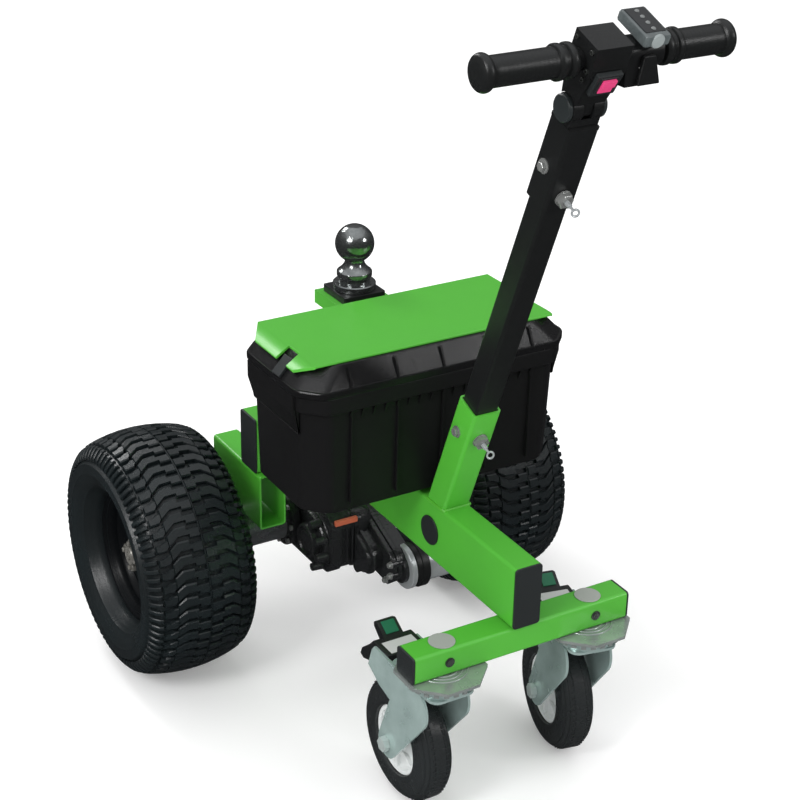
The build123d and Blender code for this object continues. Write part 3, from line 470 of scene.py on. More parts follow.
def moved_mesh(mesh, place, facing=(0, 0, 1)):
    """Copy of a mesh stood at a place with its Z axis along facing."""
    turn = Vector(facing).to_track_quat("Z", "Y").to_matrix().to_4x4()
    return placed_mesh(mesh, Matrix.Translation(place) @ turn)


black_coat = surface(
    "black_powder_coat", (0.0095, 0.0103, 0.0105), (0.0065, 0.0072, 0.0074), (0.3, 0.42),
    (1000, 0.00025), 0.02
)
dress("ball_post", black_coat, 0.001)
chrome = surface(
    "polished_chrome", (0.46, 0.48, 0.475), (0.13, 0.14, 0.14), (0.08, 0.22),
    (150, 0.0011), 0.0, 90.0, Metallic=0.95
)
ball_low, ball_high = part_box("tow_ball")
ball_r, neck_r, flat_r, collar_r = 0.0254, 0.0125, 0.009, 0.0222
ball_centre_z = 0.6 - ball_low.z
ball_profile = [
    (0, 0), (0.0272, 0), (0.028, 0.0008), (0.028, 0.0078), (0.0268, 0.009), (0.0205, 0.009),
    (0.0205, 0.017), (collar_r, 0.0172), (0.023, 0.018), (0.023, 0.0232), (collar_r, 0.0242),
]
waist_low, waist_high = 0.0242, ball_centre_z - sqrt(ball_r**2 - neck_r**2)
for step in range(1, 9):
    share = step / 9
    radius = collar_r + (neck_r - collar_r) * (1 - (1 - share) ** 2)
    ball_profile.append((radius, waist_low + (waist_high - waist_low) * share))
first_angle = -atan2(sqrt(ball_r**2 - neck_r**2), neck_r)
flat_angle = atan2(sqrt(ball_r**2 - flat_r**2), flat_r)
for step in range(41):
    angle = first_angle + (flat_angle - first_angle) * step / 40
    ball_profile.append((ball_r * cos(angle), ball_centre_z + ball_r * sin(angle)))
ball_profile.append((0, ball_profile[-1][1]))
ball_place = ((ball_low.x + ball_high.x) / 2, (ball_low.y + ball_high.y) / 2, ball_low.z)
replace_node(
    "tow_ball_turned", [moved_mesh(turned_mesh(ball_profile, 96), ball_place)], chrome, "tow_ball", 40
)
zinc = surface(
    "bright_zinc", (0.5, 0.63, 0.6), (0.27, 0.36, 0.345), (0.12, 0.3),
    (420, 0.0003), 0.0, 34.0, Metallic=0.42
)
dress("receiver_pin", zinc, 0.0008)

# Battery box
# A black moulded tub with cut corners stands on the beam; a wider band under the
# lid, upright ribs and small gussets stiffen its thin walls.


def cut_outline(width, depth, cut_x, cut_y, soft=3):
    """Plan of a box with slanted corners, each bend softened by a few points."""
    x, y = width / 2, depth / 2
    corners = [
        Vector((x - cut_x, -y)), Vector((x, cut_y - y)), Vector((x, y - cut_y)), Vector((x - cut_x, y))
    ]
    corners += [-corner for corner in corners]
    ease = min(cut_x, cut_y) * 0.3
    points = []
    for index, corner in enumerate(corners):
        before = (corners[index - 1] - corner).normalized() * ease
        after = (corners[(index + 1) % 8] - corner).normalized() * ease
        for step in range(soft + 1):
            t = step / soft
            points.append(corner + before * (1 - t) ** 2 + after * t**2)
    return points


def stacked_mesh(layers):
    """Closed skin through a stack of outlines, each given with its middle and height."""
    return skin_mesh([[(p.x, p.y + y, z) for p in outline] for outline, y, z in layers])


def softened_mesh(rings, soft_edge):
    """Skin over rings with all its edges softened."""
    work = bmesh.new()
    work.from_mesh(skin_mesh(rings))
    bmesh.ops.recalc_face_normals(work, faces=work.faces)
    bmesh.ops.bevel(work, geom=work.edges, offset=soft_edge, segments=2, profile=0.5, affect="EDGES")
    return finished_mesh(work)


def block_mesh(low, high, soft_edge=0.0008):
    """Rectangular bar with softened edges."""
    plan = ((low[0], low[1]), (high[0], low[1]), (high[0], high[1]), (low[0], high[1]))
    return softened_mesh([[(x, y, z) for x, y in plan] for z in (low[2], high[2])], soft_edge)


repeat_tree = node_group(
    "repeated_part", "GeometryNodeTree",
    (
        ("Geometry", "Geometry"), ("Count", "Int"), ("Step", "Vector"), ("Turn", "Vector"),
        ("Material", "Material"),
    ),
    (("Geometry", "Geometry"),),
    (
        ("index", "GeometryNodeInputIndex", {}),
        ("points", "GeometryNodePoints", {}),
        ("place", "ShaderNodeVectorMath", {"operation": "MULTIPLY"}),
        ("turn", "ShaderNodeVectorMath", {"operation": "MULTIPLY"}),
        ("rotation", "FunctionNodeEulerToRotation", {}),
        ("copies", "GeometryNodeInstanceOnPoints", {}),
        ("real", "GeometryNodeRealizeInstances", {}),
        ("finish", "GeometryNodeSetMaterial", {}),
    ),
    (
        ("in", "Count", "points", "Count"), ("index", "Index", "place", 0), ("in", "Step", "place", 1),
        ("place", "Vector", "points", "Position"), ("index", "Index", "turn", 0), ("in", "Turn", "turn", 1),
        ("turn", "Vector", "rotation", "Euler"), ("points", "Points", "copies", "Points"),
        ("in", "Geometry", "copies", "Instance"), ("rotation", "Rotation", "copies", "Rotation"),
        ("copies", "Instances", "real", "Geometry"), ("real", "Geometry", "finish", "Geometry"),
        ("in", "Material", "finish", "Material"), ("finish", "Geometry", "out", "Geometry"),
    ),
)


def repeated_mesh(mesh, count, material, step=(0, 0, 0), turn=(0, 0, 0)):
    """Mesh repeated by the tree: each copy is one more step along and one more turn round."""
    values = {"Count": count, "Step": step, "Turn": turn, "Material": material}
    sockets = [item for item in repeat_tree.interface.items_tree if item.name in values]
    inputs = [(socket.identifier, values[socket.name]) for socket in sockets]
    return modified_mesh(mesh, "NODES", inputs, node_group=repeat_tree)


box_plastic = surface(
    "moulded_box_plastic", (0.0078, 0.0078, 0.0082), (0.0056, 0.0056, 0.006), (0.38, 0.48),
    (1600, 0.0003), 0.02, Specular_IOR_Level=0.25
)
tub_low, tub_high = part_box("battery_box")
tub_y, tub_base, tub_top = (tub_low.y + tub_high.y) / 2, tub_low.z + 0.008, tub_high.z
tub_w, tub_d, tub_taper, tub_wall = 0.366, 0.174, 0.004, 0.004
band_out, band_h, cut_x, cut_y = 0.005, 0.022, 0.026, 0.027
band_foot = tub_top - band_h


def tub_layer(z, grow):
    """One outline of the tub at a height, grown past its tapered wall."""
    share = (z - tub_base) / (tub_top - tub_base)
    spread = 2 * (grow - tub_taper * (1 - share))
    return cut_outline(tub_w + spread, tub_d + spread, cut_x, cut_y), tub_y, z


tub_steps = (
    (tub_base, -0.003), (tub_base + 0.001, -0.001), (tub_base + 0.003, 0), (band_foot - 0.004, 0),
    (band_foot, 0.0012), (band_foot + 0.001, 0.004), (band_foot + 0.002, band_out),
    (tub_top - 0.0015, band_out), (tub_top, band_out - 0.001), (tub_top, -tub_wall),
    (tub_base + tub_wall, -tub_wall),
)
tub_meshes = [stacked_mesh([tub_layer(z, grow) for z, grow in tub_steps])]
front_y, back_y = tub_y - tub_d / 2, tub_y + tub_d / 2
rib_x, rib_count, rib_step = -0.128, 5, (0.064, 0, 0)
for near_y, far_y in ((front_y - 0.0022, front_y + 0.003), (back_y - 0.003, back_y + 0.0022)):
    rib = block_mesh((rib_x, near_y, tub_base + 0.012), (rib_x + 0.0025, far_y, band_foot), 0.0006)
    tub_meshes.append(repeated_mesh(rib, rib_count, box_plastic, rib_step))
gusset_y, gusset_z, gusset_half = front_y + 0.0005, band_foot + 0.0015, 0.001
gusset = skin_mesh(
    [
        [(rib_x + x, gusset_y + y, gusset_z + z) for y, z in ((0, 0), (-0.005, 0), (0, -0.014))]
        for x in (-gusset_half, gusset_half)
    ]
)
tub_meshes.append(repeated_mesh(gusset, 17, box_plastic, (0.016, 0, 0)))
for side in (-1, 1):
    outer, inner = side * (tub_w / 2 + 0.0088), side * (tub_w / 2 - 0.001)
    ledge = [(inner, 0), (outer, 0), (outer, -band_h)]
    ledge += [(inner + side * 0.001, -band_h - 0.03), (inner, -band_h - 0.03)]
    ends = [[(x, tub_y + end, tub_top - 0.0003 + z) for x, z in ledge] for end in (-0.0598, 0.0598)]
    tub_meshes.append(softened_mesh(ends, 0.0015))
    foot_y = tub_y + side * tub_d / 4
    foot = block_mesh(
        (-0.012, foot_y - 0.015, tub_low.z + 0.0002), (0.012, foot_y + 0.015, tub_base + 0.001)
    )
    tub_meshes.append(foot)
replace_node("battery_tub", tub_meshes, box_plastic, "battery_box", 40)
battery_plastic = surface(
    "battery_case", (0.03, 0.03, 0.034), (0.024, 0.024, 0.027), (0.45, 0.55),
    (900, 0.0003), 0.05
)
dress("battery", battery_plastic, 0.003)

# Lid, cover sheet and catches
# The lid slopes in from an upright rim; a green steel sheet lies on it with both
# ends folded down, and a black catch at each end lies in the fold's notch.
lid_plastic = surface(
    "moulded_lid_plastic", (0.0062, 0.0062, 0.0066), (0.0045, 0.0045, 0.0048), (0.2, 0.3),
    (1600, 0.0003), 0.02
)
lid_low, lid_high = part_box("battery_box_lid")
lid_y, lid_wall = (lid_low.y + lid_high.y) / 2, 0.004
lid_w, lid_d = lid_high.x - lid_low.x, lid_high.y - lid_low.y
top_w, top_d, top_y = 0.332, 0.156, lid_y + 0.003
rim_foot, slope_low, slope_high = lid_low.z, lid_low.z + 0.009, lid_high.z


def lid_layer(share, z, grow):
    """One outline of the lid between its rim and its top."""
    width = lid_w - lid_wall + (top_w - lid_w + lid_wall) * share
    depth = lid_d - lid_wall + (top_d - lid_d + lid_wall) * share
    middle = lid_y + (top_y - lid_y) * share
    return cut_outline(width + grow, depth + grow, cut_x, cut_y), middle, z


lid_steps = (
    (0, rim_foot, lid_wall - 0.001), (0, rim_foot + 0.001, lid_wall), (0, slope_low - 0.0015, lid_wall),
    (0, slope_low, lid_wall - 0.0012), (0, slope_low + 0.0002, -0.001), (0.94, slope_high - 0.0016, 0),
    (1, slope_high - 0.0001, -0.002), (1, slope_high - 0.0001, -0.016), (1, slope_high - 0.004, -0.02),
    (0.95, slope_high - 0.004, -0.014), (0, slope_low, -0.01), (0, rim_foot, -0.008),
)
lid_mesh = stacked_mesh([lid_layer(*step) for step in lid_steps])
slope_in, slope_up = (lid_d - lid_wall - top_d) / 2, slope_high - slope_low
lid_front, lid_rib_half = lid_y - lid_d / 2 + 0.001, 0.0014
lid_rib_side = [
    (0.001, -0.008), (-0.0006, -0.007), (-0.0006, 0), (slope_in * 0.9, slope_up * 0.94), (0.014, 0.004),
]
lid_rib = skin_mesh(
    [
        [(rib_x + x, lid_front + y, slope_low + z) for y, z in lid_rib_side]
        for x in (-lid_rib_half, lid_rib_half)
    ]
)
lid_ribs = repeated_mesh(lid_rib, rib_count, lid_plastic, rib_step)
replace_node("battery_lid", [lid_mesh, lid_ribs], lid_plastic, "battery_box_lid", 28)
dress("cover_plate", green_coat, 0.0007)
dress("lid_latches", cap_plastic, 0.0008)

# Drive unit
# A black cast gearcase hangs on the axle with its cover's bolts and round bearing
# cap to the left; the silver axle tube runs through it in two black flanges, and
# the bare silver motor with its black band is bolted on ahead.
cast_paint = surface(
    "cast_gearcase_paint", (0.0185, 0.0195, 0.0203), (0.0105, 0.0112, 0.0118), (0.18, 0.32),
    (240, 0.0012), 0.01, Specular_IOR_Level=0.6
)
motor_steel = surface(
    "bare_motor_steel", (0.5, 0.52, 0.53), (0.38, 0.41, 0.42), (0.26, 0.38),
    (700, 0.0003), 0.0, 30.0, Metallic=0.5
)
washer_t = 0.0012


def hex_head_mesh(across_flats, thick, washer_r=0.0):
    """Bolt head, on a washer where one has a radius, standing on the origin along Z."""
    radius, base = across_flats / sqrt(3), washer_t if washer_r else 0
    head = ((radius, base), (radius, base + thick * 0.85), (radius * 0.86, base + thick))
    meshes = [turned_mesh(head, 6)]
    if washer_r:
        meshes.append(turned_mesh(((washer_r, 0), (washer_r, base)), 24))
    return joined_mesh(meshes)


def belt_outline(circles, grow):
    """Outline of a belt round two circles, each given as ahead, up and radius."""
    (x1, y1, r1), (x2, y2, r2) = ((x, y, radius + grow) for x, y, radius in circles)
    gap = Vector((x2 - x1, y2 - y1))
    turn, spread = atan2(gap.y, gap.x), acos((r1 - r2) / gap.length)
    points = []
    for x, y, radius, first, sweep in (
        (x1, y1, r1, turn + spread, 2 * (pi - spread)), (x2, y2, r2, turn - spread, 2 * spread)
    ):
        angles = [first + sweep * step / 18 for step in range(19)]
        points += [Vector((x + radius * cos(angle), y + radius * sin(angle))) for angle in angles]
    return points


def case_outline(shrink):
    """Plan of the main case seen from the side, with round corners."""
    radius = 0.02 - shrink
    points = []
    for x, y, first in ((0.03, 0.024, 0), (-0.092, 0.024, 90), (-0.092, -0.027, 180), (0.03, -0.027, 270)):
        angles = [radians(first + 15 * step) for step in range(7)]
        points += [Vector((x + radius * cos(angle), y + radius * sin(angle))) for angle in angles]
    return points


def cast_mesh(layers):
    """Casting from (outline, place) layers: outlines in ahead and up, stacked along the axle."""
    mesh = stacked_mesh([(outline, 0, x) for outline, x in layers])
    return placed_mesh(mesh, axes_matrix(axle_middle, (0, 1, 0), (0, 0, 1), (1, 0, 0)))


cover_circles = ((0, 0, 0.0445), (-0.071, -0.005, 0.0385))
flange_circles = ((-0.071, -0.003, 0.037), (-0.151, -0.022, 0.0245))
neck_circles = ((-0.071, -0.005, 0.031), (-0.128, -0.018, 0.0205))
case_steps = (
    (0, -0.042), (0, -0.026), (0.0022, -0.0255), (0.0022, -0.006), (0, -0.0055), (0, 0.012), (0.006, 0.024),
)
castings = [cast_mesh([(case_outline(shrink), x) for shrink, x in case_steps])]
for circles, steps in (
    (
        cover_circles, (
            (-0.012, -0.0505), (-0.006, -0.052), (-0.0015, -0.0512), (0, -0.049), (0, -0.0455),
            (0.0028, -0.0448), (0.0034, -0.044), (0.0034, -0.0412), (0.0028, -0.0405),
        )
    ),
    (
        neck_circles, (
            (-0.001, -0.006), (0.0005, -0.005), (0.0005, 0.001), (0.0045, 0.0015), (0.0045, 0.0055),
            (0.0005, 0.006), (0.0005, 0.022),
        )
    ),
    (
        flange_circles, (
            (0.0006, 0.0185), (0.0016, 0.0195), (0.0016, 0.0245), (-0.0004, 0.025), (-0.0004, 0.0258),
            (0.003, 0.0264), (0.003, 0.0318), (0.0018, 0.033), (-0.001, 0.0335), (-0.002, 0.052),
        )
    ),
):
    castings.append(cast_mesh([(belt_outline(circles, grow), x) for grow, x in steps]))
bearing_cap = [
    (0, 0.0085), (0.0155, 0.0085), (0.0172, 0.0072), (0.0192, 0.0072), (0.0206, 0.0096), (0.0238, 0.0096),
    (0.0248, 0.0086), (0.025, 0.007), (0.025, -0.002), (0, -0.002),
]
right_boss = [(0, 0), (0.0425, 0), (0.0445, 0.002), (0.0445, 0.044), (0.0425, 0.046), (0, 0.046)]
motor_end = [
    (0, -0.0255), (0.0145, -0.0255), (0.016, -0.0245), (0.0165, -0.02), (0.021, -0.0195), (0.022, -0.0185),
    (0.022, 0), (0, 0),
]
drain_lug = [(0, 0), (0.009, 0), (0.009, 0.022), (0, 0.022)]
motor_place = Vector((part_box("drive_motor")[0].x, axle_y - 0.16, axle_z - 0.029))
for profile, segments, place, side in (
    (bearing_cap, 48, (-0.052, axle_y - 0.071, axle_z - 0.005), -1),
    (right_boss, 48, (0.024, axle_y, axle_z), 1),
    (motor_end, 40, motor_place, 1),
    (drain_lug, 24, (0.002, axle_y - 0.103, axle_z - 0.047), 1),
):
    castings.append(moved_mesh(turned_mesh(profile, segments), place, (side, 0, 0)))
cast_boss = turned_mesh([(0, -0.016), (0.0055, -0.016), (0.0066, 0), (0.006, 0.0008), (0, 0.0008)], 20)
small_bolt = hex_head_mesh(0.007, 0.0042, 0.0052)
case_bolts = []
for circles, grow, bolted, boss_x, boss_side, bolt_x in (
    (flange_circles, -0.0018, (1, 6, 11, 17, 24, 29, 34), 0.0185, -1, 0.0177),
    (cover_circles, -0.001, (8, 12, 16, 21, 25, 29, 33), -0.0475, 1, -0.0475),
):
    outline = belt_outline(circles, grow)
    for index in bolted:
        bolt_y, bolt_z = axle_y + outline[index].x, axle_z + outline[index].y
        castings.append(moved_mesh(cast_boss, (boss_x, bolt_y, bolt_z), (boss_side, 0, 0)))
        case_bolts.append(moved_mesh(small_bolt, (bolt_x, bolt_y, bolt_z), (-1, 0, 0)))
for x in (-0.019, -0.011, -0.003):
    castings.append(
        block_mesh((x, axle_y - 0.1145, axle_z - 0.03), (x + 0.0025, axle_y - 0.105, axle_z + 0.022))
    )
for y, z, tall in ((-0.105, 0.018, 0.016), (-0.13, 0, 0.014), (-0.148, -0.012, 0.01)):
    rib_y, rib_z = axle_y + y, axle_z + z
    castings.append(block_mesh((0.0085, rib_y, rib_z - tall), (0.0205, rib_y + 0.003, rib_z + 0.004)))
replace_node("gearcase_castings", castings, cast_paint, "gearcase", 32)
dark_steel = surface(
    "oiled_steel", (0.42, 0.43, 0.42), (0.2, 0.205, 0.2), (0.18, 0.3),
    (700, 0.0003), 0.0, 60.0, Metallic=0.6
)
add_piece("gearcase_bolts", case_bolts, dark_steel, "frame", 20)
tab_paint = surface("orange_blank_tab", (0.55, 0.13, 0.06), (0.42, 0.09, 0.04), (0.4, 0.5), (800, 0.0002))
tab = block_mesh(
    (-0.036, axle_y - 0.1135, axle_z + 0.031), (-0.002, axle_y - 0.1085, axle_z + 0.0385), 0.0006
)
add_piece("gearcase_tab", [tab], tab_paint, "frame", 30)
motor_profile = [
    (0, -0.0125), (0.0305, -0.0125), (0.032, -0.011), (0.032, -0.005), (0.0275, -0.004), (0.0275, 0.072),
    (0.029, 0.074), (0.029, 0.092), (0.0275, 0.096), (0.012, 0.096), (0.009, 0.099), (0, 0.099),
]
motor_mesh = moved_mesh(turned_mesh(motor_profile, 64), motor_place, (1, 0, 0))
replace_node("drive_motor_body", [motor_mesh], motor_steel, "drive_motor", 35)
band_profile = [
    (0.027, -0.006), (0.031, -0.006), (0.0315, -0.005), (0.0315, 0.001), (0.033, 0.002), (0.033, 0.012),
    (0.032, 0.013), (0.027, 0.013),
]
band = moved_mesh(turned_mesh(band_profile, 64, True), motor_place + Vector((0.003, 0, 0)), (1, 0, 0))
add_piece("motor_band", [band], black_coat, "frame", 35)
tube_r, tube_bore_r, tube_edge = 0.031, 0.0127, 0.001
tube_from, tube_to = (corner.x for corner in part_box("axle_tubes"))
tube_profile = [
    (tube_bore_r, tube_from), (tube_r - tube_edge, tube_from), (tube_r, tube_from + tube_edge),
    (tube_r, tube_to - tube_edge), (tube_r - tube_edge, tube_to), (tube_bore_r, tube_to),
]
axle_steel = surface(
    "axle_tube_steel", (0.34, 0.35, 0.36), (0.22, 0.23, 0.24), (0.22, 0.34),
    (600, 0.0003), 0.0, 30.0, Metallic=0.85
)
axle_tube = moved_mesh(turned_mesh(tube_profile, 64, True), axle_middle, (1, 0, 0))
replace_node("axle_tube", [axle_tube], axle_steel, "axle_tubes", 35)
flange_r, flange_t = 0.042, 0.012
flange_profile = [
    (0.0305, 0), (flange_r, 0), (flange_r, 0.011), (flange_r - 0.001, flange_t), (0.0335, flange_t),
    (0.0305, 0.0165),
]
flange_mesh = turned_mesh(flange_profile, 64, True)
flange_bolt = moved_mesh(hex_head_mesh(0.007, 0.0035), (0.0375, 0, flange_t))
bolt_ring = repeated_mesh(flange_bolt, 8, dark_steel, turn=(0, 0, pi / 4))
flanges = []
flange_bolts = [
    moved_mesh(hex_head_mesh(0.012, 0.006, 0.0085), motor_place - Vector((0.0255, 0, 0)), (-1, 0, 0))
]
for side, face_x in ((-1, -0.052), (1, 0.07)):
    for mesh, meshes in ((flange_mesh, flanges), (bolt_ring, flange_bolts)):
        meshes.append(moved_mesh(mesh, (face_x, axle_y, axle_z), (side, 0, 0)))
add_piece("axle_flanges", flanges, cast_paint, "frame", 35)
add_piece("flange_bolts", flange_bolts, dark_steel, "frame", 20)

# Drive wheels
# Wide turf tyres on deep black steel rims. The carcass bulges to 160 mm, and
# hooked blocks in staggered rows and shoulder lugs stand 6 mm proud of it.
tyre_rubber = surface(
    "turf_tyre_rubber", (0.0105, 0.0152, 0.0166), (0.0072, 0.0104, 0.0116), (0.2, 0.4),
    (900, 0.0005), 0.05, Specular_IOR_Level=0.55
)
rim_paint = surface(
    "black_rim_paint", (0.0044, 0.0053, 0.0062), (0.003, 0.0037, 0.0044), (0.24, 0.36),
    (500, 0.0003), 0.02, Specular_IOR_Level=0.14
)
hub_steel = surface(
    "weathered_hub_steel", (0.34, 0.33, 0.3), (0.16, 0.155, 0.14), (0.25, 0.4),
    (600, 0.0004), 0.0, 70.0, Metallic=0.55
)
tyre_r, half_w = (wheel_high.z - wheel_low.z) / 2, (wheel_high.x - wheel_low.x) / 2
lip_x, lip_r, tread_h = 0.046, 0.091, 0.006
bulge_r = lip_r + 0.474 * (tyre_r - lip_r)
side_arc_r = ((half_w - lip_x) ** 2 + (bulge_r - lip_r) ** 2) / (2 * (half_w - lip_x))
side_arc_x = half_w - side_arc_r
shoulder = radians(55)
shoulder_x = side_arc_x + side_arc_r * cos(shoulder)
shoulder_z = bulge_r + side_arc_r * sin(shoulder)
crown_r = ((tyre_r - shoulder_z) ** 2 + shoulder_x**2) / (2 * (tyre_r - shoulder_z))
along_x = Matrix.Rotation(pi / 2, 4, "Y")


def crown_z(x):
    """Height of the tread's outer face over the axle."""
    return tyre_r - crown_r + sqrt(crown_r**2 - x**2)


def wheel_part_mesh(profile, segments, loop=False):
    """Solid of revolution about the X axis from (radius, place) points."""
    return placed_mesh(turned_mesh(profile, segments, loop), along_x)


def tread_block_mesh(outline):
    """One tread block: an outline in (across, round), its top on the tread face."""
    middle_x, middle_y = (sum(values) / len(outline) for values in zip(*outline))
    rings = []
    for share_x, share_y, drop in ((1.01, 1.04, tread_h + 0.0015), (1, 1, 0.0014), (0.965, 0.8, 0)):
        ring = [
            (middle_x + (x - middle_x) * share_x, middle_y + (y - middle_y) * share_y) for x, y in outline
        ]
        rings.append([(x, y, sqrt((crown_z(x) - drop) ** 2 - y**2)) for x, y in ring])
    return skin_mesh(rings)


half_profile = []
lip_angle = atan2(lip_r - bulge_r, lip_x - side_arc_x)
for step in range(29):
    angle = lip_angle + (shoulder - lip_angle) * step / 28
    degrees = angle * 180 / pi
    rise = min(max((degrees - 8) / 14, 0), 1)
    reach = side_arc_r - tread_h * rise * rise * (3 - 2 * rise)
    if -70 < degrees < 6:
        reach -= 0.0009
    if -50 < degrees < -44 or -12 < degrees < -6:
        reach += 0.0008
    half_profile.append((bulge_r + reach * sin(angle), side_arc_x + reach * cos(angle)))
for step in range(1, 9):
    x = shoulder_x * (1 - step / 8)
    half_profile.append((crown_z(x) - tread_h, x * 0.96))
carcass_profile = half_profile + [(radius, -x) for radius, x in reversed(half_profile[:-1])]
carcass_profile += [(lip_r, -0.0422), (0.0842, -0.0418), (0.0842, 0.0418), (lip_r, 0.0422)]
groove_r, seam_r = tyre_r - tread_h - 0.001, tyre_r - 0.0012
seam_profile = [(groove_r, -0.0009), (seam_r, -0.0006), (seam_r, 0.0006), (groove_r, 0.0009)]
tyre_meshes = [wheel_part_mesh(profile, 128, True) for profile in (carcass_profile, seam_profile)]
block_count = 56
block_pitch = 2 * pi * tyre_r / block_count
hooked_share = [
    (-0.5, 0.74), (-0.2, 0.2), (0.18, 0.2), (0.18, 0.46), (0.5, 0.46), (0.5, -0.2), (0.1, -0.2),
    (0.1, -0.46), (-0.26, -0.46), (-0.5, -0.04),
]
short_share = [
    (-0.5, 0.36), (0.3, 0.36), (0.5, 0.1), (0.5, -0.32), (0.2, -0.32), (-0.1, -0.14), (-0.5, -0.14),
]
for row_x, row_w, phase, flip, share in (
    (-0.0226, 0.043, 0.0, 1, hooked_share),
    (0.0226, 0.043, 0.4, -1, hooked_share),
    (-0.0522, 0.0155, 0.55, 1, short_share),
    (0.0522, 0.0155, 0.95, -1, short_share),
):
    block = tread_block_mesh([(row_x + flip * x * row_w, (y + phase) * block_pitch) for x, y in share])
    tyre_meshes.append(repeated_mesh(block, block_count, tyre_rubber, turn=(2 * pi / block_count, 0, 0)))
lug_count, lug_half, lug_foot = 84, 0.0029, side_arc_r - tread_h - 0.001
lug_rings = []
for step in range(7):
    angle = radians(55 - 6 * step)
    top = side_arc_r if 0 < step < 6 else side_arc_r - 0.0016
    section = [(lug_foot, -lug_half), (top - 0.0012, -lug_half), (top, 0.0011 - lug_half)]
    section += [(reach, -y) for reach, y in reversed(section)]
    lug_rings.append(
        [
            (side_arc_x + reach * cos(angle), y, sqrt((bulge_r + reach * sin(angle)) ** 2 - y**2))
            for reach, y in section
        ]
    )
lug = skin_mesh(lug_rings)
for turn in (0, pi):
    turned_lug = placed_mesh(lug, Matrix.Rotation(turn, 4, "Z"))
    tyre_meshes.append(repeated_mesh(turned_lug, lug_count, tyre_rubber, turn=(2 * pi / lug_count, 0, 0)))
rim_profile = [
    (0.0905, 0.0442), (0.0912, 0.0452), (0.0905, 0.0462), (0.088, 0.0462), (0.0862, 0.045),
    (0.0838, 0.0405), (0.0815, 0.0385), (0.0795, 0.0345), (0.079, 0.029), (0.0765, 0.0265), (0.074, 0.021),
    (0.066, 0.0175), (0.0645, 0.0225), (0.0625, 0.0235), (0.056, 0.0235), (0.052, 0.0225), (0.0405, 0.0225),
    (0.036, 0.0245), (0.014, 0.0245), (0.014, 0.0205), (0.035, 0.0205), (0.0395, 0.0188), (0.0525, 0.0188),
    (0.0575, 0.0195), (0.0625, 0.0185), (0.0635, -0.0195), (0.074, -0.024), (0.079, -0.031),
    (0.0795, -0.0365), (0.0838, -0.0405), (0.0862, -0.045), (0.088, -0.0462), (0.0905, -0.0462),
    (0.0912, -0.0452), (0.0905, -0.0442), (0.0875, -0.0435), (0.0842, -0.0405), (0.0838, -0.0385),
    (0.0838, 0.0385), (0.0842, 0.0405), (0.0875, 0.0435),
]
hub_profile = [
    (0, -0.042), (0.0235, -0.042), (0.0235, 0.02), (0.027, 0.0205), (0.027, 0.033), (0.026, 0.034),
    (0.0145, 0.034), (0.0135, 0.0355), (0.0135, 0.044), (0.0125, 0.0455), (0.006, 0.0455), (0.0055, 0.0475),
    (0, 0.0475),
]
shaft_profile = [(0, -0.149), (0.0115, -0.149), (0.0123, -0.148), (0.0123, -0.04), (0, -0.04)]
hub_meshes = [wheel_part_mesh(hub_profile, 48), wheel_part_mesh(shaft_profile, 32)]
stud_mesh = turned_mesh([(0, 0), (0.0036, 0), (0.0036, 0.0115), (0.003, 0.0122), (0, 0.0122)], 16)
for mesh in (hex_head_mesh(0.0125, 0.0075, 0.0078), stud_mesh):
    stood = placed_mesh(mesh, Matrix.Translation((0.034, 0, 0.0185)) @ along_x)
    hub_meshes.append(repeated_mesh(stood, 4, hub_steel, turn=(pi / 2, 0, 0)))
wheel_x = abs(wheel_low.x + wheel_high.x) / 2
for hand, side, turn in (("left", -1, pi), ("right", 1, 0)):
    place = Matrix.Translation((side * wheel_x, axle_y, axle_z)) @ Matrix.Rotation(turn, 4, "Z")
    for part, meshes, material, smooth_angle in (
        ("tyre", tyre_meshes, tyre_rubber, 26),
        ("rim", [wheel_part_mesh(rim_profile, 96, True)], rim_paint, 30),
        ("hub", hub_meshes, hub_steel, 30),
    ):
        placed = placed_mesh(joined_mesh(meshes), place)
        replace_node(f"{hand}_{part}", [placed], material, f"drive_{part}_{hand}", smooth_angle)

# Steering column
# A black square column slides in the green socket and a larger sleeve slides on
# it; eye screws on the operator's side and side bolts hold them.
for node in ("lower_column", "upper_sleeve"):
    dress(node, black_coat, 0.0, 40)
for name, body, head_t, washer_r, along in (
    ("socket_side_bolts", "frame", 0.004, 0.0075, 0.128),
    ("sleeve_side_bolts", "sleeve", 0.0045, 0.0085, 0.53),
):
    head = hex_head_mesh(0.01, head_t, washer_r)
    bolts = [moved_mesh(head, at_column(side * 0.019, 0.003, along), (side, 0, 0)) for side in (-1, 1)]
    add_piece(name, bolts, dark_steel, body, 20)


def wire_eye_mesh(centre):
    """Closed wire ring round a centre, turned a little to the right of the column."""
    radius, wire_r, side, along = 0.0042, 0.0013, Vector((0.9, 0, 0.44)), -off_column
    normal = side.cross(along).normalized()
    rings = []
    for turn in (2 * pi * step / 32 for step in range(32)):
        outward = side * cos(turn) + along * sin(turn)
        offsets = [(radius + wire_r * cos(k * pi / 4), wire_r * sin(k * pi / 4)) for k in range(8)]
        rings.append([centre + outward * out + normal * aside for out, aside in offsets])
    return skin_mesh(rings, True)


